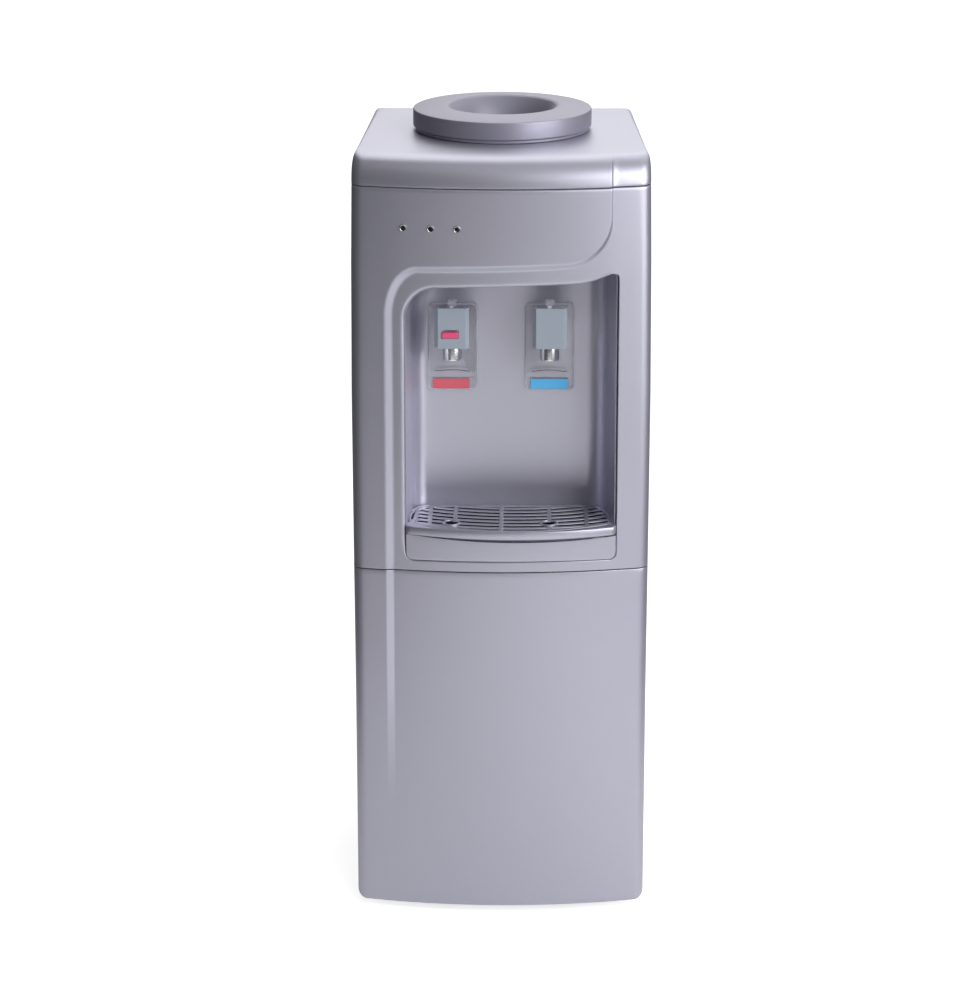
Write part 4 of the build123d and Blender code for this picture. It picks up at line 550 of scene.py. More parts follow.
def rounded(corners, radius, steps=5):
    """A closed outline through corners, each rounded by a curve of at most that radius."""
    corners = np.asarray(corners, float)
    before, after = np.roll(corners, 1, 0) - corners, np.roll(corners, -1, 0) - corners
    len_before, len_after = np.linalg.norm(before, axis=1), np.linalg.norm(after, axis=1)
    before, after = before / len_before[:, None], after / len_after[:, None]
    half = np.arccos(np.clip((before * after).sum(1), -1, 1)) / 2
    cut = np.minimum(radius / np.tan(np.maximum(half, 0.01)), 0.45 * np.minimum(len_before, len_after))
    start, end = corners + before * cut[:, None], corners + after * cut[:, None]
    t = np.linspace(0, 1, steps)[None, :, None]
    curve = quadratic(t, start[:, None], corners[:, None], end[:, None]).reshape(-1, corners.shape[1])
    return np.vstack([curve, curve[:1]])


def rounding(edge, radius):
    """How far a rounded edge lies back at a distance from it: a quarter circle of that radius."""
    return radius * (1 - np.sqrt(1 - (1 - np.clip(edge / radius, 0, 1)) ** 2))


def along(points, ways, radius, around=12):
    """Rings of a round tube whose centre line goes through points, square to the given ways."""
    points, ways = np.asarray(points, float), np.asarray(ways, float)
    ways = ways / np.linalg.norm(ways, axis=1)[:, None]
    side = np.cross(ways, [0.0, 1.0, 0.0])
    side /= np.linalg.norm(side, axis=1)[:, None]
    up = np.cross(side, ways)
    angle = np.linspace(0, 2 * pi, around, endpoint=False)[None, :, None]
    return points[:, None] + radius * (np.cos(angle) * side[:, None] + np.sin(angle) * up[:, None])


# The cabinet's plan


def front_y(x, shift=0.0):
    """Where the bowed front is at x: a circle through the two corners and the middle of the bow."""
    return FRONT_Y + shift + sqrt(FRONT_R**2 - HALF**2) - np.sqrt(FRONT_R**2 - np.asarray(x) ** 2)


def cabinet_plan(front, shift=0.0, lean=0.0, depth=BODY_DEPTH, corner=14, side=8):
    """The plan from the left side round the front to the right side, as (x, y) points.

    The bowed front is an arc, its two corners are arcs tangent to it and to the straight sides; front holds
    the places of its points from -1 to 1, shift moves it back and lean moves the sides in."""
    half, back = HALF - lean, BACK_HALF - lean
    radius = (half**2 + BOW**2) / (2 * BOW)
    centre = np.array([0.0, FRONT_Y + shift - BOW + radius])
    edge = np.array([half, FRONT_Y + shift])
    way = np.array([back - half, BACK_Y - FRONT_Y - shift])
    way /= np.linalg.norm(way)
    out = np.array([way[1], -way[0]])
    start = edge - out * CORNER_R - centre
    b, c = way @ start, start @ start - (radius - CORNER_R) ** 2
    middle = centre + start + way * (-b - sqrt(b * b - c))
    first = (middle - centre) / np.linalg.norm(middle - centre)
    a0, a1 = np.arctan2(first[1], first[0]), np.arctan2(out[1], out[0])
    reach = (centre + first * radius)[0]
    x = np.asarray(front) * reach
    bow = np.stack([x, centre[1] - np.sqrt(radius**2 - x**2)], 1)
    turn = np.linspace(a0, a1, corner + 1)[1:]
    arc = middle + CORNER_R * np.stack([np.cos(turn), np.sin(turn)], 1)
    end = (FRONT_Y + depth - arc[-1, 1]) / way[1]
    line = arc[-1] + way * np.linspace(0, end, side + 1)[1:, None]
    right = np.vstack([arc, line])
    return np.vstack([right[::-1] * [-1, 1], bow, right])


def front_places():
    """Places across the front from -1 to 1, close together about the raised field's right edge."""
    reach, fine, spread, coarse = HALF - 0.008, FIELD_RIGHT, 0.004, 0.0035
    near = np.arange(fine - spread, fine + spread, 0.0004)
    left = np.linspace(-reach, fine - spread, round((fine - spread + reach) / coarse), endpoint=False)
    right = np.linspace(fine + spread, reach, max(4, round((reach - fine - spread) / coarse)))
    return np.concatenate([left, near, right]) / reach


def belly(z):
    """How far the sides of the mouldings stand out between the seams, in metres at a height."""
    z = np.asarray(z)
    return 0.0021 * np.interp(z, [0.0, 0.25, 0.42, 0.58, 0.72, 0.80], [0.25, 0.40, 0.78, 1.0, 0.55, 0.0])


class FlatPlan:
    """The plan laid out flat: a distance along it from the middle of the front gives x and y."""

    def __init__(self):
        plan = cabinet_plan(np.linspace(-1, 1, 801), depth=RETURN_D, corner=60, side=30)
        run = np.concatenate([[0], np.cumsum(np.linalg.norm(np.diff(plan, axis=0), axis=1))])
        self.run = run - run[-1] / 2
        self.plan = plan
        self.end = self.run[-1]

    def across(self, x):
        """The distance along the plan at an x on the front."""
        front = np.abs(self.plan[:, 0]) < 0.140
        return np.interp(x, self.plan[front, 0], self.run[front])

    def points(self, run, height, inset):
        """Points at distances along the plan and heights, moved back by inset.

        The belly of the sides comes in smoothly over the last stretch before each corner."""
        x, y = np.interp(run, self.run, self.plan[:, 0]), np.interp(run, self.run, self.plan[:, 1])
        belly_from, belly_over = 0.125, 0.020
        near = np.clip((np.abs(x) - belly_from) / belly_over, 0, 1)
        out = np.sign(x) * belly(height) * near * near * (3 - 2 * near)
        return np.stack([x + out, y + inset, height], -1)


FLAT = FlatPlan()


# The raised field and the recess's outline


def arc(centre, radii, start, end, count):
    """Points of an ellipse's arc between two angles in degrees."""
    t = np.radians(np.linspace(start, end, count))
    return np.stack([centre[0] + radii[0] * np.cos(t), centre[1] + radii[1] * np.sin(t)], 1)


def line(start, end, count):
    """Points of a straight run, without its last one."""
    t = np.linspace(0, 1, count, endpoint=False)[:, None]
    return np.asarray(start) * (1 - t) + np.asarray(end) * t


def field_edge(sizes):
    """Points along the raised field's edge, the way to its low side there, and its bevel's width."""
    low = FIELD_LOW - 0.0042
    turn_x, turn_z = FIELD_LEFT + 0.036, low - 0.055
    right = FIELD_RIGHT - FIELD_R
    up = line((FIELD_LEFT, -0.05), (FIELD_LEFT, turn_z), 240)
    bend = arc((turn_x, turn_z), (0.036, 0.055), 180, 92, 80)
    top = line((turn_x + 0.004, low), (right, FIELD_LOW), 80)
    rise = arc((right, FIELD_LOW + FIELD_R), (FIELD_R, FIELD_R), -90, 0, 90)
    run = line((FIELD_RIGHT, FIELD_LOW + FIELD_R + 0.001), (FIELD_RIGHT, 0.95), 90)
    edge = np.vstack([up, bend, top, rise, run])
    way = np.gradient(edge, axis=0)
    way /= np.linalg.norm(way, axis=1)[:, None]
    width = np.concatenate([
        np.full(len(up), sizes.bevel_side), np.linspace(sizes.bevel_side, sizes.bevel_top, len(bend)),
        np.full(len(top), sizes.bevel_top), np.linspace(sizes.bevel_top, sizes.bevel_line, len(rise)),
        np.full(len(run), sizes.bevel_line),
    ])
    return edge, np.stack([way[:, 1], -way[:, 0]], 1), width


def ramp(t):
    """A rise from 0 to 1 with short rounded ends and a straight middle."""
    t = np.clip(t, 0, 1)
    bend = 0.14
    low = t**2 / (2 * bend)
    high = 1 - bend - (1 - t) ** 2 / (2 * bend)
    middle = t - bend / 2
    return np.where(t < bend, low, np.where(t > 1 - bend, high, middle)) / (1 - bend)


def field_inset(x, z, sizes):
    """How far the front lies behind the raised field: the step's ramp over the nearest point of its edge."""
    edge, way, width = field_edge(sizes)
    query = np.stack([np.ravel(x), np.ravel(z)], 1)
    result = np.empty(len(query))
    for part in np.array_split(np.arange(len(query)), max(1, len(query) // 4000)):
        apart = query[part, None] - edge[None]
        near = (apart**2).sum(-1).argmin(1)
        signed = (apart[np.arange(len(part)), near] * way[near]).sum(-1)
        result[part] = sizes.step * ramp(signed / width[near])
    return result.reshape(np.shape(x))


def opening_outline():
    """The tap recess's outline and where each point's ray ends on the panel's edge, both as (across, z)."""
    nl, nr, nb, nt = NICHE_LEFT, NICHE_RIGHT, NICHE_BOTTOM, NICHE_TOP
    high, low, end = UPPER_TOP, UPPER_LOW, FLAT.end
    tr, corner_r, foot_r, tip_r = nt + NICHE_RISE, NICHE_CORNER_R, NICHE_FOOT_R, NICHE_TIP_R
    inner, outer = [], []

    def side(points, start, finish):
        """A stretch of the outline, its rays spread evenly over a straight stretch of the panel's edge."""
        inner.append(points)
        outer.append(line(start, finish, len(points)))

    def upright(points, height):
        """A stretch of the outline whose rays go straight up or down."""
        inner.append(points)
        outer.append(np.stack([FLAT.across(points[:, 0]), np.full(len(points), height)], 1))

    corner = arc((nl + corner_r, nt - corner_r), (corner_r, corner_r), 180, 90, 101)
    over = float(FLAT.across(nl + corner_r))
    side(line((nl, nb + foot_r), (nl, nt - corner_r), 60), (-end, nb + 0.004), (-end, nt - 0.010))
    side(corner[:45], (-end, nt - 0.010), (-end, high))
    side(corner[45:100], (-end, high), (over, high))
    upright(line((nl + corner_r, nt), (NICHE_BEND_X, nt + 0.004), 60), high)
    x = np.concatenate([np.arange(NICHE_BEND_X, 0.110, 0.001), np.arange(0.110, 0.117, 0.0004)])
    rise = np.clip((x - NICHE_BEND_X) / (0.1145 - NICHE_BEND_X), 0, 1)
    upright(np.stack([x, nt + 0.004 + 0.010 * rise**2.2], 1), high)
    tip = arc((nr - tip_r, tr - tip_r), (tip_r, tip_r), 90, 0, 41)
    right = float(FLAT.across(0.117))
    side(tip[:22], (right, high), (end, high))
    side(tip[22:], (end, high), (end, tr + 0.004))
    side(line((nr, tr - tip_r), (nr, nb + foot_r), 60), (end, tr + 0.004), (end, nb + 0.004))
    foot = arc((nr - foot_r, nb + foot_r), (foot_r, foot_r), 0, -90, 61)
    side(foot[:30], (end, nb + 0.004), (end, low))
    side(foot[30:60], (end, low), (float(FLAT.across(nr - foot_r)), low))
    upright(line((nr - foot_r, nb), (nl + foot_r, nb), 80), low)
    foot = arc((nl + foot_r, nb + foot_r), (foot_r, foot_r), -90, -180, 61)
    side(foot[:30], (float(FLAT.across(nl + foot_r)), low), (-end, low))
    side(foot[30:60], (-end, low), (-end, nb + 0.004))
    inner, outer = np.vstack(inner), np.vstack(outer)
    return inner, np.stack([FLAT.across(inner[:, 0]), inner[:, 1]], 1), outer


class DISPENSER_OT_upper_panel(Operator):
    """Makes the upper front panel with its raised field and the rounded rim of the tap recess."""

    bl_idname = "dispenser.upper_panel"
    bl_label = "Upper front panel"

    def execute(self, context):
        sizes = context.scene.dispenser_sizes
        _, inner, outer = opening_outline()
        ray = outer - inner
        reach = np.linalg.norm(ray, axis=1)
        way = ray / reach[:, None]
        lowish = np.clip((NICHE_BOTTOM + 0.020 - inner[:, 1]) / 0.016, 0, 1)
        rightish = np.clip((inner[:, 0] - 0.108) / 0.010, 0, 1)
        scale = 1 - 0.72 * np.maximum(lowish, rightish)
        rim = 1 - np.cos(np.linspace(0, pi / 2, 9))
        share = np.concatenate([np.linspace(0, 0.42, 30)[1:], np.linspace(0.42, 1, 26)[1:]])
        width = sizes.rim_width * scale
        near = inner[None] + way[None] * (rim[:, None] * width)[..., None]
        start = inner + way * width[:, None]
        far = start[None] + (outer - start)[None] * share[:, None, None]
        flat = np.concatenate([near, far])
        x = np.interp(flat[..., 0], FLAT.run, FLAT.plan[:, 0])
        inset = field_inset(x, flat[..., 1], sizes)
        edge = np.minimum(flat[..., 1] - UPPER_LOW, UPPER_TOP - flat[..., 1])
        inset += rounding(edge, sizes.seam_round)
        inset[: len(rim)] += sizes.rim_depth * scale * (1 - np.sqrt(1 - (1 - rim) ** 2))[:, None]
        grid = FLAT.points(flat[..., 0], flat[..., 1], inset)
        throat = [grid[:1] + np.array([0.0, deep, 0.0]) for deep in (0.0030, 0.0012)]
        piece("upper_shell", [np.concatenate([*throat, grid])], "silver_shell", "root", ["front_upper_panel"],
              (0, 0.3, 0.6), wall=0.0016, sharp=50)
        return {"FINISHED"}


class DISPENSER_OT_lower_panel(Operator):
    """Makes the lower front panel: the raised left edge fades out towards the foot."""

    bl_idname = "dispenser.lower_panel"
    bl_label = "Lower front panel"

    def execute(self, context):
        sizes = context.scene.dispenser_sizes
        bevel = np.linspace(FIELD_LEFT - 0.001, FIELD_LEFT + sizes.bevel_side + 0.001, 22)
        right = np.linspace(FIELD_LEFT + 0.014, 0.138, 60)
        corner = np.linspace(FLAT.across(0.139), FLAT.end, 34)
        run = np.concatenate([-corner[::-1], FLAT.across(np.linspace(-0.138, FIELD_LEFT - 0.003, 5)),
                              FLAT.across(bevel), FLAT.across(right), corner])
        x = np.interp(run, FLAT.run, FLAT.plan[:, 0])
        foot_r = 0.010
        turn = np.clip(np.abs(x) - (HALF - foot_r), 0, foot_r * 0.999)
        low = PANEL_BOTTOM + foot_r - np.sqrt(foot_r**2 - turn**2)
        s = sizes.seam_round
        ends = s * (1 - np.cos(np.linspace(0, pi / 2, 4)))
        body = np.linspace(s, LOWER_TOP - PANEL_BOTTOM - s, 70)
        share = np.concatenate([ends[:-1], body, (LOWER_TOP - PANEL_BOTTOM) - ends[:-1][::-1]])
        share = share / share[-1]
        z = low[None] + (LOWER_TOP - low)[None] * share[:, None]
        wide = np.broadcast_to(x, z.shape)
        fade_low, fade_over = 0.080, 0.220
        fade = np.clip((z - fade_low) / fade_over, 0, 1)
        inset = sizes.step - (sizes.step - field_inset(wide, z, sizes)) * fade * fade * (3 - 2 * fade)
        edge = np.minimum(z - low[None], LOWER_TOP - z)
        inset += rounding(edge, s)
        grid = FLAT.points(np.broadcast_to(run, z.shape), z, inset)
        piece("lower_shell", [grid], "silver_shell", "root", ["lower_front_panel"], (0, 0.3, 0.2),
              closed=False, wall=0.0026, sharp=50)
        return {"FINISHED"}


class DISPENSER_OT_top_cover(Operator):
    """Makes the top cover: the plan drawn in round its shoulder, and its top round the seat's hole."""

    bl_idname = "dispenser.top_cover"
    bl_label = "Top cover"

    def execute(self, context):
        sizes = context.scene.dispenser_sizes
        front, rows = front_places(), []
        rise, s = TOP_Z - COVER_LOW, sizes.seam_round

        def ring(z, shift, lean, share, back):
            """The closed plan at one height, with the line of the raised field where share is over 0."""
            plan = cabinet_plan(front, shift, lean)
            step = sizes.step * share * ramp((plan[:, 0] - FIELD_RIGHT) / sizes.bevel_line)
            plan = plan + np.stack([np.zeros(len(plan)), np.where(plan[:, 1] < FRONT_Y + 0.05, step, 0)], 1)
            plan = np.vstack([plan, line(plan[-1], plan[0], 25)[1:]])
            plan[:, 1] = np.minimum(plan[:, 1], BACK_Y - back)
            taper = np.clip((plan[:, 1] - FRONT_Y - 0.03) / 0.25, 0, 1)
            plan[:, 0] *= 1 - 0.036 * (lean / SHOULDER_S) ** 0.7 * taper
            return np.column_stack([plan, np.full(len(plan), z)])

        for turn in np.linspace(0, pi / 2, 4)[:-1]:
            draw = s * (1 - sin(turn))
            rows.append(ring(COVER_LOW + s * (1 - cos(turn)) * 0.5, draw, draw, 1, s))
        for turn in np.linspace(0.03, pi / 2, 26):
            lean = 1 - cos(turn)
            share = 1 - max(0.0, (turn - 1.05) / (pi / 2 - 1.05)) ** 2
            back = 0.004 * max(0.0, (sin(turn) - 0.86) / 0.14) ** 2
            shift = SHOULDER_D * (lean + 0.45 * lean**5)
            rows.append(ring(COVER_LOW + rise * sin(turn), shift, SHOULDER_S * lean**1.6, share, back))
        top = rows[-1]
        hub = np.array([0.0, SEAT_Y, TOP_Z])
        spoke = top - hub
        spoke /= np.linalg.norm(spoke, axis=1)[:, None]
        hole = hub + spoke * (SEAT_R - 0.012)
        rows += [top * (1 - share) + hole * share for share in np.linspace(0, 1, 15)[1:]]
        rows += [hole + spoke * -0.0004 - np.array([0, 0, deep]) for deep in (0.0006, 0.002)]
        piece("cover_shell", [np.stack(rows)], "silver_shell", "root", ["top_cover"], (0, 0, 0.78),
              wall=0.0026, sharp=50)
        return {"FINISHED"}


class DISPENSER_OT_recess(Operator):
    """Makes the tap recess: the opening's outline carried back, drawn in, and turned into the back wall."""

    bl_idname = "dispenser.recess"
    bl_label = "Tap recess"

    def execute(self, context):
        sizes = context.scene.dispenser_sizes
        outline, _, _ = opening_outline()
        x0, z0 = outline[:, 0], outline[:, 1]
        mouth = front_y(x0, sizes.step + sizes.rim_depth + 0.0008)
        middle_x, middle_z = (NICHE_LEFT + NICHE_RIGHT) / 2, 0.560
        cove, foot = sizes.cove, sizes.foot_cove
        back = FRONT_Y + NICHE_D

        def ring(y, inward, clear=0.0002):
            """The outline at depth y, its sides drawn in by the walls' slope and all of it moved inwards.

            The left wall leans less than the right one, and its cove is tighter."""
            depth = np.maximum(y - (FRONT_Y - 0.015), 0)
            draw = NICHE_SLOPE * depth * np.where(x0 < middle_x, 0.6, 1.0)
            width = (NICHE_RIGHT - NICHE_LEFT) / 2
            narrow = (width - draw - clear - inward * np.where(x0 < middle_x, 0.72, 1.0)) / width
            up = np.where(z0 > middle_z, NICHE_TOP + NICHE_RISE - middle_z, middle_z - NICHE_BOTTOM)
            share = np.where(z0 > middle_z, inward * 0.55, inward * foot / cove)
            x = middle_x + (x0 - middle_x) * narrow
            z = middle_z + (z0 - middle_z) * (1 - (share + clear) / up)
            return np.stack([x, np.broadcast_to(y, x.shape), z], 1)

        rows = [ring(mouth, -0.0012)]
        for share in np.linspace(0, 1, 9):
            rows.append(ring(mouth * (1 - share) + (back - cove) * share, 0.0))
        for turn in np.linspace(0, pi / 2, 15)[1:]:
            rows.append(ring(back - cove * (1 - sin(turn)), cove * (1 - cos(turn))))
        centre = np.array([middle_x, back, middle_z])
        rows += [rows[-1] * (1 - share) + centre * share for share in np.linspace(0, 1, 12)[1:]]
        piece("recess_shell", [np.stack(rows)], "recess_grey", "root", ["tap_niche"],
              (middle_x, FRONT_Y, middle_z), hollow=True, wall=0.0022, sharp=50)
        return {"FINISHED"}


class DISPENSER_OT_bottle_seat(Operator):
    """Makes the bottle seat: one profile of ring, rim, funnel and neck turned round the tank's axis."""

    bl_idname = "dispenser.bottle_seat"
    bl_label = "Bottle seat"

    def execute(self, context):
        low, neck, top, ring_r = SEAT_BOX[0].z, NECK_Z, SEAT_TOP, SEAT_R
        crease = top - 0.003
        skirt = TOP_Z + 0.0003
        dish = np.linspace(0, 1, 14)[:, None]
        funnel = quadratic(dish, (RIM_R - 0.0030, top - 0.0014), (0.0415, top - 0.0150),
                           (NECK_R + 0.0030, neck + 0.0034))
        outline = rounded([
            (ring_r - 0.0055, skirt), (ring_r - 0.0025, skirt), (ring_r - 0.0025, COLLAR_Z - 0.0008),
            (ring_r, COLLAR_Z), (ring_r, crease), (RIM_R, top), *funnel, (NECK_R, neck), (NECK_R, low),
            (NECK_R + 0.003, low), (NECK_R + 0.003, neck - 0.002), (NECK_R + 0.006, neck + 0.002),
            (RIM_R + 0.001, top - 0.0035), (ring_r - 0.003, crease - 0.003),
            (ring_r - 0.003, COLLAR_Z + 0.0015), (ring_r - 0.0055, COLLAR_Z - 0.001),
        ], 0.0016)
        piece("seat_ring", [turned(outline, 0, SEAT_Y, 160)], "seat_slate", "bottle_seat", ["bottle_seat"],
              (0, SEAT_Y, 0.70), sharp=60)
        near, far = NECK_R + 0.001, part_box("seat_gasket")[1].x
        plate = rounded([(near, low + 0.0004), (far, low + 0.0004), (far, low + 0.003), (near, low + 0.003)],
                        0.0004, 3)
        piece("seat_lid", [turned(plate, 0, SEAT_Y, 96)], "seat_slate", "bottle_seat")
        return {"FINISHED"}


def lens(left, right, back, arc_y, arc_r, inset, corner=GRILLE_CORNER):
    """A plan with a bowed front and two rounded back corners, drawn in by inset, as a row of points."""
    left, right, back, arc_r = left + inset, right - inset, back - inset, arc_r - inset
    wide, deep = corner[0] - inset / 2, corner[1] - inset / 2
    nip = 0.005

    def front(x):
        """Where the bow is at x."""
        return arc_y - np.sqrt(arc_r**2 - (x - LIP_X) ** 2)

    x = np.linspace(left + nip, right - nip, BOW_STEPS)
    side = back - deep
    turn = np.radians(np.linspace(0, 90, 26))[:-1]
    t = np.linspace(0, 1, NIP_STEPS, endpoint=False)[:, None]
    right_tip, left_tip = (right, front(right)), (left, front(left))
    right_end = quadratic(t, (right - nip, front(right - nip)), right_tip, (right, front(right) + nip))
    left_end = quadratic(t, (left, front(left) + nip), left_tip, (left + nip, front(left + nip)))
    return np.vstack([
        np.stack([x, front(x)], 1)[:-1], right_end,
        line((right, front(right) + nip), (right, side), SIDE_STEPS),
        np.stack([right - wide * (1 - np.cos(turn)), side + deep * np.sin(turn)], 1),
        line((right - wide, back), (left + wide, back), 30),
        np.stack([left + wide * (1 - np.sin(turn)), side + deep * np.cos(turn)], 1),
        line((left, side), (left, front(left) + nip), SIDE_STEPS), left_end,
    ])


def grille_plan(inset):
    """The grille's plan drawn in by inset."""
    return lens(GRILLE_LEFT, GRILLE_RIGHT, GRILLE_BACK, GRILLE_Y, GRILLE_R, inset)


def tray_plan(inset):
    """The tray's plan drawn in by inset: the lip's arc in front, the grille's corners at the back."""
    return lens(NICHE_LEFT + 0.0006, NICHE_RIGHT - 0.0008, GRILLE_BACK + 0.0024, LIP_Y, LIP_R, inset,
                (GRILLE_CORNER[0] + 0.002, GRILLE_CORNER[1] + 0.002))


def level(plan, z):
    """A plan laid at a height, or at a height for each of its points."""
    return np.column_stack([plan, np.broadcast_to(z, len(plan))])


class DISPENSER_OT_tray(Operator):
    """Makes the drip tray: rings of its plan from the basin over the lip to the bottom, and the apron."""

    bl_idname = "dispenser.tray"
    bl_label = "Drip tray"

    def execute(self, context):
        top, lip, low = TRAY_TOP, TRAY_TOP - LIP_H, NICHE_BOTTOM + 0.0012
        apron = context.scene.dispenser_sizes.step
        centre = np.array([LIP_X, FRONT_Y + 0.03])

        def behind(plan, gap):
            """A plan held at least gap behind the apron's face."""
            plan[:, 1] = np.maximum(plan[:, 1], front_y(plan[:, 0], apron + gap))
            return plan

        # Basin, rim round the grille, lip, and the tuck under it, as rings from inside to outside
        floor = behind(grille_plan(0.014), 0.010)
        rows = [level(centre + (floor - centre) * share, low + 0.0035) for share in (0.0, 0.4, 0.8)]
        rows += [
            level(floor, low + 0.0037),
            level(behind(grille_plan(0.008), 0.006), low + 0.0058),
            level(behind(grille_plan(0.0045), 0.004), lip + 0.0006),
            level(grille_plan(0.0045), top - 0.0078),
            level(grille_plan(0.0040), top - 0.0070),
        ]
        # A copy of the basin, set a hair inside it and drawn in black plastic, is painted shade under the
        # grille
        basin = np.stack(rows)
        basin[..., :2] = centre + (basin[..., :2] - centre) * 0.99
        basin[..., 2] += 0.0009
        rim = ((-0.0004, 0.0069), (-0.0007, 0.0066), (-0.0009, 0.0012), (-0.0011, 0.0004), (-0.0018, 0.0))
        rows += [level(grille_plan(inset), top - drop) for inset, drop in rim]
        brow = ((0.0011, 0.0), (0.0006, 0.0001), (0.0002, 0.0005), (0.0, 0.0011))
        rows += [level(tray_plan(inset), top - drop) for inset, drop in brow]
        chin = ((0.0, 0.0010), (0.0002, 0.0005), (0.0006, 0.0001))
        rows += [level(tray_plan(inset), lip + rise) for inset, rise in chin]
        lipped = tray_plan(0.0008)
        tuck = np.maximum(front_y(lipped[:, 0], apron + 0.003) - lipped[:, 1], 0)
        for share, rise in ((0.1, 0.0001), (0.4, 0.0016), (0.8, 0.0040), (1.0, 0.0046)):
            rows.append(level(lipped + np.stack([np.zeros(len(tuck)), tuck * share], 1), lip + rise))
        wall = behind(tray_plan(0.0035), 0.012)
        rows += [level(wall, lip + 0.0046), level(wall, low + 0.002)]
        rows += [level(centre + (wall - centre) * share, low) for share in (0.98, 0.0)]
        # The basin's black plastic is painted shade: it stands for the shade under the grille
        piece("tray_basin_painted_shade", [basin], "black_plastic", "drip_tray", [], (LIP_X, FRONT_Y + 0.02, top),
              hollow=True, wall=0.0004, sharp=50)
        piece("tray_shell", [np.stack(rows)], "tray_silver", "drip_tray", ["drip_tray"],
              (LIP_X, FRONT_Y, 0.30), sharp=50)

        # The apron's top falls away from the lip in a shallow arc, so that a shadow shows between them
        left, right, high, base = NICHE_LEFT + 0.0005, NICHE_RIGHT - 0.0005, lip + 0.0009, low - 0.0006
        r, soft_edge = 0.0072, 0.0006
        near = soft_edge * (1 - np.cos(np.linspace(0, pi / 2, 6)))[:-1]
        x = np.concatenate([
            left + near, np.linspace(left + soft_edge, left + r, 12)[:-1],
            np.linspace(left + r, right - r, 90),
            np.linspace(right - r, right - soft_edge, 12)[1:], (right - near)[::-1],
        ])
        turn = np.clip(np.maximum(left + r - x, x - right + r), 0, r * 0.9999)
        foot = base + r - np.sqrt(r**2 - turn**2)
        share = np.concatenate([near, np.linspace(soft_edge, high - base, 18)]) / (high - base)
        over = np.clip(front_y(x, apron) - LIP_Y + np.sqrt(LIP_R**2 - (x - LIP_X) ** 2), 0, None)
        crest = high - over * 0.29 - 0.0040 * over / over.max()
        z = foot[None] + (crest - foot)[None] * share[:, None]
        wide = np.broadcast_to(x, z.shape)
        edge = np.minimum(np.minimum(wide - left, right - wide), z - foot[None])
        front = np.stack([wide, front_y(wide, apron) + rounding(edge, soft_edge), z], -1)
        deep = np.array([0.0, 0.006, 0.0])
        front = np.concatenate([front[:1] + deep, front, front[-1:] + deep])
        front = np.concatenate([front[:, :1] + deep, front, front[:, -1:] + deep], 1)
        piece("tray_apron", [front], "tray_silver", "drip_tray", [], (0, 0.2, 0.41), closed=False,
              wall=0.0010, sharp=50)
        return {"FINISHED"}


class DISPENSER_OT_grille(Operator):
    """Makes the grille: a plate of arcs about the lip's centre, cut into slots, its edge and two rings."""

    bl_idname = "dispenser.grille"
    bl_label = "Drip grille"

    def execute(self, context):
        top = TRAY_TOP - 0.0004
        edges = np.concatenate([[x - RIB_W / 2, x + RIB_W / 2] for x in RIB_X])
        near = np.concatenate([np.arange(x - RING_R, x + RING_R, 0.0009) for x in RING_X])
        x = np.concatenate([np.linspace(GRILLE_LEFT + 0.0005, GRILLE_RIGHT - 0.0005, 120), edges, near])
        x = np.unique(np.round(x, 5))
        inner = grille_plan(BORDER)
        inside = (x > inner[:, 0].min()) & (x < inner[:, 0].max())

        def limits(plan):
            """The front and back of a closed plan at each x."""
            plan = np.vstack([plan, plan[:1]])
            count = BOW_STEPS - 1 + NIP_STEPS + SIDE_STEPS
            found = []
            for half in (plan[:count], plan[count:]):
                half = half[np.argsort(half[:, 0], kind="stable")]
                found.append(np.interp(x, half[:, 0], half[:, 1]))
            return found

        front, back = limits(grille_plan(0.0005))
        middle = (front + back) / 2
        front_in, back_in = (np.where(inside, edge, middle) for edge in limits(inner))
        rows = [front, np.where(inside, front_in, front * 0.5 + middle * 0.5)]
        for k in range(SLOT_ROWS):
            for way in (1, -1):
                r = SLOT_R - k * SLOT_PITCH + way * SLOT_W / 2
                rows.append(np.clip(LIP_Y - np.sqrt(r**2 - (x - LIP_X) ** 2), front_in, back_in))
        y = np.maximum.accumulate(np.stack([*rows, back_in, back]), axis=0)
        grid = np.stack([np.broadcast_to(x, y.shape), y, np.full(y.shape, top)], -1)
        mid_x = (x[:-1] + x[1:]) / 2
        mid_y = (y[:-1, :-1] + y[1:, 1:]) / 2
        drop = np.zeros(mid_y.shape, bool)
        drop[2:2 + 2 * SLOT_ROWS:2] = True
        for rib in RIB_X:
            drop[:, np.abs(mid_x - rib) < RIB_W / 2] = False
        drop[:, (mid_x < inner[:, 0].min()) | (mid_x > inner[:, 0].max())] = False
        for ring in RING_X:
            drop |= np.hypot(mid_x[None] - ring, mid_y - RING_Y) < RING_R - 0.0010
        drop[0] = drop[-1] = False
        heart = (LIP_X, FRONT_Y, 0.30)
        piece("grille_plate", [grid], "grille_grey", "drip_grille", ["drip_grille"], heart, closed=False,
              wall=0.0006, sharp=0, drop=drop)
        band = ((0.0007, 0.0), (0.0002, 0.0002), (0.0, 0.0007), (0.0, 0.0060), (0.0016, 0.0060),
                (0.0016, 0.0003), (0.0007, 0.0))
        rows = [level(grille_plan(inset), top - down) for inset, down in band]
        piece("grille_edge", [np.stack(rows)], "grille_grey", "drip_grille", [], heart)
        wide, high, low = 0.0012, 0.0012, -0.0008
        profile = rounded([(-wide, low), (-wide, high), (wide, high), (wide, low)], 0.0006)
        rings = [turned(profile + [RING_R - 0.0004, top], ring, RING_Y, 48) for ring in RING_X]
        piece("grille_rings", rings, "tray_silver", "drip_grille")
        return {"FINISHED"}


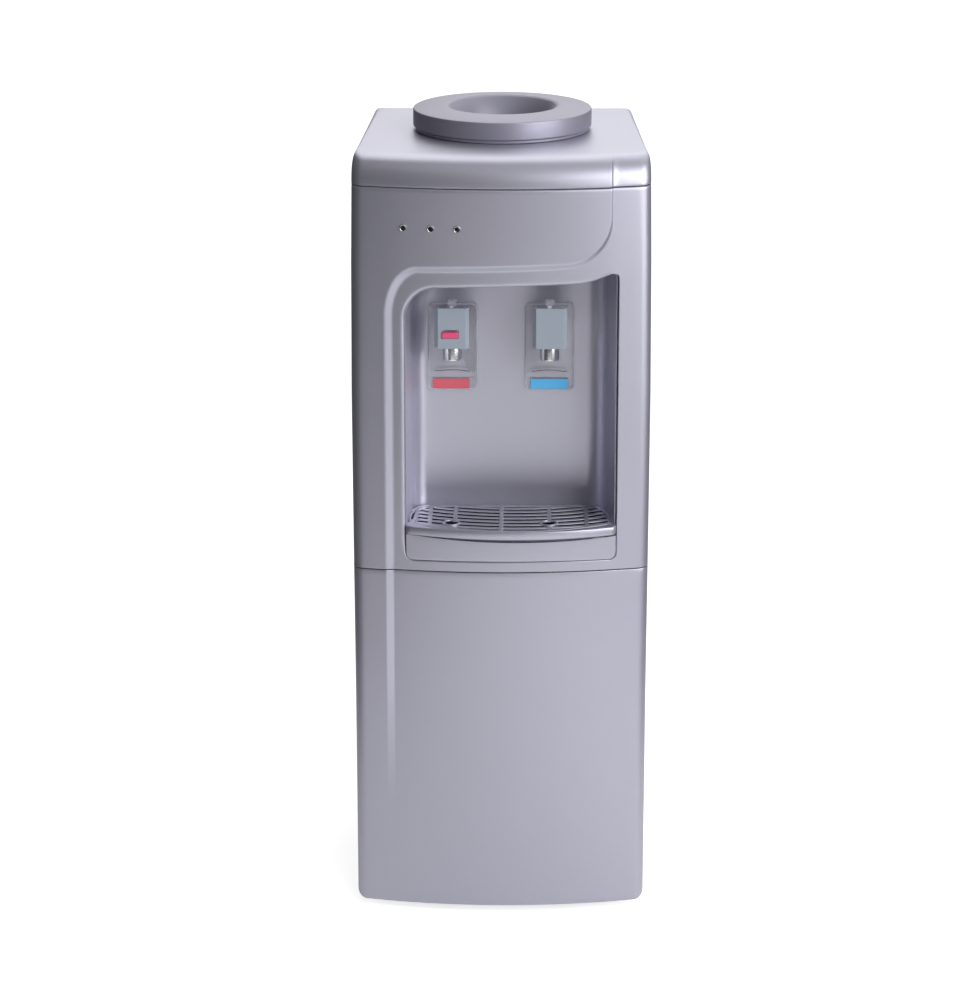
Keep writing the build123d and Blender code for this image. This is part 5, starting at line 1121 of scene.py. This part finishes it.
class DISPENSER_OT_taps(Operator):
    """Makes the taps: softened bodies, paddles and escutcheons, and turned spouts."""

    bl_idname = "dispenser.taps"
    bl_label = "Taps"

    def execute(self, context):
        low, top = (corner.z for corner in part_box("spouts"))
        profile = rounded([
            (0.0058, low), (0.0097, low), (0.0099, low + 0.0012), (0.0099, top), (0.0072, top),
            (0.0072, low + 0.006), (0.0058, low + 0.006),
        ], 0.0006)
        rings = [turned(profile, x, TAP_Y, 64) for x in TAP_X]
        piece("spout_tubes", rings, "chrome", "root", ["spouts"], finish="tube_chrome")
        for node, width in (
            ("tap_bodies", 0.0004), ("tap_bonnets", 0.0003), ("hot_paddle", 0.0006), ("cold_paddle", 0.0006),
            ("lock_button", 0.0005), ("hot_valve_stem", 0.0003), ("cold_valve_stem", 0.0003),
            ("hot_label", 0.0002), ("cold_label", 0.0002), ("escutcheons", 0.0004), ("tap_nuts", 0.0004),
        ):
            finish = "frosted" if node.endswith("valve_stem") else None
            made = softened(node, width, finish=finish)
            if node == "hot_label":
                for vertex in made.data.vertices:
                    vertex.co.x -= HOT_LABEL_CUT if vertex.co.x > HOT_LABEL_FROM else 0
        for side in ("hot", "cold"):
            node = side + "_tap_spring"
            wound = softened(node)
            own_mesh(wound)
        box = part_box("escutcheons")
        y, r, inset = box[0].y - 0.0001, 0.006, 0.0009
        low, high = box[0].z + inset, box[1].z - inset
        beads, ledges = [], []
        for x in TAP_X:
            left = (box[0].x if x < 0 else box[1].x - ESCUTCHEON_W) + inset
            right = (box[0].x + ESCUTCHEON_W if x < 0 else box[1].x) - inset
            path = np.vstack([arc(centre, (r, r), start, start + 90, 8) for centre, start in (
                ((left + r, low + r), 180), ((right - r, low + r), 270),
                ((right - r, high - r), 0), ((left + r, high - r), 90),
            )])
            path = np.column_stack([path[:, 0], np.full(len(path), y), path[:, 1]])
            bead = along(path, np.roll(path, -1, 0) - np.roll(path, 1, 0), 0.0005)
            beads.append(np.concatenate([bead, bead[:1]]))
            # The ledge over the strip: a shallow arch whose two ends turn up, drawn in dark smoky plastic as
            # a painted shade line
            across = np.linspace(-0.0185, 0.0185, 41)
            up = 0.0012 * np.clip((np.abs(across) - 0.0155) / 0.003, 0, 1) ** 2 - 5.5 * across**2 + 0.0008
            edge = np.stack([x + across, np.full(41, y - 0.0016), LEDGE_Z + up], 1)
            tube = along(edge, np.gradient(edge, axis=0), 0.0005, 10)
            caps = [np.repeat(tube[end].mean(0)[None, None], 10, 1) for end in (0, -1)]
            ledges.append(np.concatenate([caps[0], tube, caps[1]]))
        piece("escutcheon_beads", beads, "clear_plastic", "root", finish="frosted")
        # The ledges' dark smoky plastic is painted shade along the escutcheons' lower edge
        piece("escutcheon_ledges", ledges, "clear_plastic", "root", finish="smoky")
        return {"FINISHED"}


class DISPENSER_OT_lamps(Operator):
    """Makes the lamps: domed dark lenses in bright bevelled rings."""

    bl_idname = "dispenser.lamps"
    bl_label = "Indicator lamps"

    def execute(self, context):
        low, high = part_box("indicator_lamps")
        softened("indicator_lamps", 0.0004, 30, "lamp_lenses")
        z = (low.z + high.z) / 2
        bezel = rounded([(0.0027, 0.0018), (0.0027, -0.0006), (0.0034, -0.0010), (0.0042, 0.0002),
                         (0.0042, 0.0018)], 0.0003)
        ring = turned(bezel, 0, 0, 40)
        grids = [
            np.stack([x + ring[..., 0], float(front_y(x)) + ring[..., 2], z + ring[..., 1]], -1)
            for x in (low.x + 0.0026, WARM_LAMP_X, high.x - 0.0026)
        ]
        piece("lamp_rings", grids, "stainless", "root")
        return {"FINISHED"}


class DISPENSER_OT_carcase(Operator):
    """Finishes the sides, the back and what is fixed to them."""

    bl_idname = "dispenser.carcase"
    bl_label = "Sides and back"

    def execute(self, context):
        for node, width in (
            ("left_side_panel", 0.0004), ("right_side_panel", 0.0004), ("back_panel", 0.0),
            ("feet", 0.0005), ("drain_cap", 0.0005), ("drain_fitting", 0.0), ("cord_gland", 0.0006),
            ("switch_bezels", 0.0004), ("hot_switch_rocker", 0.0004), ("cold_switch_rocker", 0.0004),
            ("back_panel_screws", 0.0), ("condenser_brackets", 0.0002), ("condenser", 0.0),
            ("refrigerant_pipes", 0.0), ("filter_drier", 0.0), ("base_pan", 0.0),
        ):
            softened(node, width)
        return {"FINISHED"}


class DISPENSER_OT_insides(Operator):
    """Gives the pieces inside the cabinet their finishes."""

    bl_idname = "dispenser.insides"
    bl_label = "Inside pieces"

    def execute(self, context):
        for name, obj in NODES.items():
            if obj.hide_render:
                continue
            obj.data.materials.clear()
            obj.data.materials.append(FINISHES[SLOT_OF[name]])
        return {"FINISHED"}


def paper(name, rgb, glow):
    """Paper that the camera, mirrors and clear pieces see as near white, and that still takes a shadow."""
    f = Finish(name, roughness=0.9)
    path = f.tree.nodes.new("ShaderNodeLightPath")
    seen = Value(f, path.outputs["Is Camera Ray"])
    mirrored = Value(f, path.outputs["Is Glossy Ray"])
    f.shader.inputs["Base Color"].default_value = (*rgb, 1)
    f.shader.inputs["Specular IOR Level"].default_value = 0.0
    height, ahead = (f.add("ShaderNodeSeparateXYZ", {}, {"Vector": f.place()}, axis) for axis in "ZY")
    far_floor = ((ahead + 0.4) * -0.6).clamp() * 0.29
    wall = (height * 0.8).clamp() * 0.46
    high_wall = ((height - 0.9) * 2.5).clamp() * 0.16
    light = seen * glow + mirrored * (0.075 + far_floor + wall + high_wall)
    white = f.add("ShaderNodeCombineColor", {}, {0: light, 1: light, 2: light})
    f.shader.inputs["Emission Strength"].default_value = 1.0
    return f.feed(emission_color=white)


def softbox(name, azimuth, elevation, distance, size, glow, aim=(0, 0, 0.5), mirrored=True):
    """A rectangular lamp that faces aim from an azimuth, counted from the front to the right."""
    lamp = bpy.data.lights.new(name, "AREA")
    lamp.shape, lamp.size, lamp.size_y = "RECTANGLE", *size
    lamp.energy = glow * pi * size[0] * size[1]
    a, e = radians(azimuth), radians(elevation)
    obj = bpy.data.objects.new(name, lamp)
    obj.location = np.array(aim) + distance * np.array([cos(e) * sin(a), -cos(e) * cos(a), sin(e)])
    obj.rotation_euler = (pi / 2 - e, 0, a)
    bpy.context.scene.collection.objects.link(obj)
    obj.visible_camera, obj.visible_glossy = False, mirrored


class DISPENSER_OT_stage(Operator):
    """Makes the floor and backdrop, the lamps, the world and the camera."""

    bl_idname = "dispenser.stage"
    bl_label = "Stage"

    def execute(self, context):
        scene = context.scene
        t = np.linspace(0, pi / 2, 13)
        run = np.concatenate([[-2.6, 0.0], 2.2 + 1.2 * np.sin(t), [3.4]])
        rise = np.concatenate([[0.0, 0.0], 1.2 * (1 - np.cos(t)), [7.0]])
        half = 0.70 + 0.60 * np.clip(run / 3.4, 0, 1)
        across = np.linspace(-1, 1, 8) * half[:, None]
        grid = np.stack(np.broadcast_arrays(across, run[:, None], rise[:, None]), -1)
        mesh = bpy.data.meshes.new("backdrop")
        mesh.from_pydata(grid.reshape(-1, 3).tolist(), [], quads(grid).tolist())
        mesh.flip_normals()
        mesh.shade_smooth()
        mesh.materials.append(paper("paper", (0.80, 0.80, 0.80), 0.75))
        backdrop = bpy.data.objects.new("backdrop", mesh)
        scene.collection.objects.link(backdrop)

        world = bpy.data.worlds.new("studio")
        world.use_nodes = True
        nodes, links = world.node_tree.nodes, world.node_tree.links
        seen = nodes.new("ShaderNodeLightPath")
        mix = nodes.new("ShaderNodeMix")
        mix.data_type = "RGBA"
        mix.inputs[6].default_value, mix.inputs[7].default_value = (0.076, 0.077, 0.08, 1), (1, 1, 1, 1)
        links.new(seen.outputs["Is Camera Ray"], mix.inputs[0])
        links.new(mix.outputs[2], nodes["Background"].inputs["Color"])
        scene.world = world

        softbox("key_right", 51, 24, 2.4, (2.1, 2.6), 4.0)
        softbox("top_right", 25, 76, 1.9, (1.7, 1.3), 0.42)
        softbox("back_high", 162, 50, 2.3, (2.4, 2.3), 0.95, (0, 0, 0.6))
        softbox("front_fill", 20, 30, 3.0, (1.5, 1.2), 6.0, mirrored=False)
        softbox("side_fill", 232, 20, 2.8, (1.8, 1.6), 1.8, mirrored=False)

        camera = bpy.data.cameras.new("camera")
        camera.sensor_fit, camera.sensor_width = "HORIZONTAL", SENSOR_W
        camera.lens = FOCAL_PX * SENSOR_W / FRAME_PX
        eye = bpy.data.objects.new("camera", camera)
        eye.location = EYE
        eye.rotation_euler = (pi / 2 - EYE_DOWN, 0, EYE_TURN)
        scene.collection.objects.link(eye)
        scene.camera = eye
        scene.view_settings.view_transform = "Standard"
        return {"FINISHED"}


STEPS = (
    DISPENSER_OT_upper_panel, DISPENSER_OT_lower_panel, DISPENSER_OT_top_cover, DISPENSER_OT_recess,
    DISPENSER_OT_bottle_seat, DISPENSER_OT_tray, DISPENSER_OT_grille, DISPENSER_OT_taps,
    DISPENSER_OT_lamps, DISPENSER_OT_carcase, DISPENSER_OT_insides, DISPENSER_OT_stage,
)


class DISPENSER_PT_panel(Panel):
    """Sizes, colours and steps of the dispenser."""

    bl_label = "Water dispenser"
    bl_idname = "DISPENSER_PT_panel"
    bl_space_type = "VIEW_3D"
    bl_region_type = "UI"
    bl_category = "Dispenser"

    def draw(self, context):
        for group in (context.scene.dispenser_sizes, context.scene.dispenser_colours):
            box = self.layout.box()
            for name in group.__annotations__:
                box.prop(group, name)
        for step in STEPS:
            self.layout.operator(step.bl_idname)


CLASSES = (DispenserSizes, DispenserColours, *STEPS, DISPENSER_PT_panel)


def register():
    for cls in CLASSES:
        bpy.utils.register_class(cls)
    bpy.types.Scene.dispenser_sizes = PointerProperty(type=DispenserSizes)
    bpy.types.Scene.dispenser_colours = PointerProperty(type=DispenserColours)


def unregister():
    del bpy.types.Scene.dispenser_colours
    del bpy.types.Scene.dispenser_sizes
    for cls in reversed(CLASSES):
        bpy.utils.unregister_class(cls)


def main():
    """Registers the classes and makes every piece."""
    register()
    make_finishes(bpy.context.scene.dispenser_colours)
    for step in STEPS:
        group, name = step.bl_idname.split(".")
        getattr(getattr(bpy.ops, group), name)()


if __name__ == "__main__":
    main()
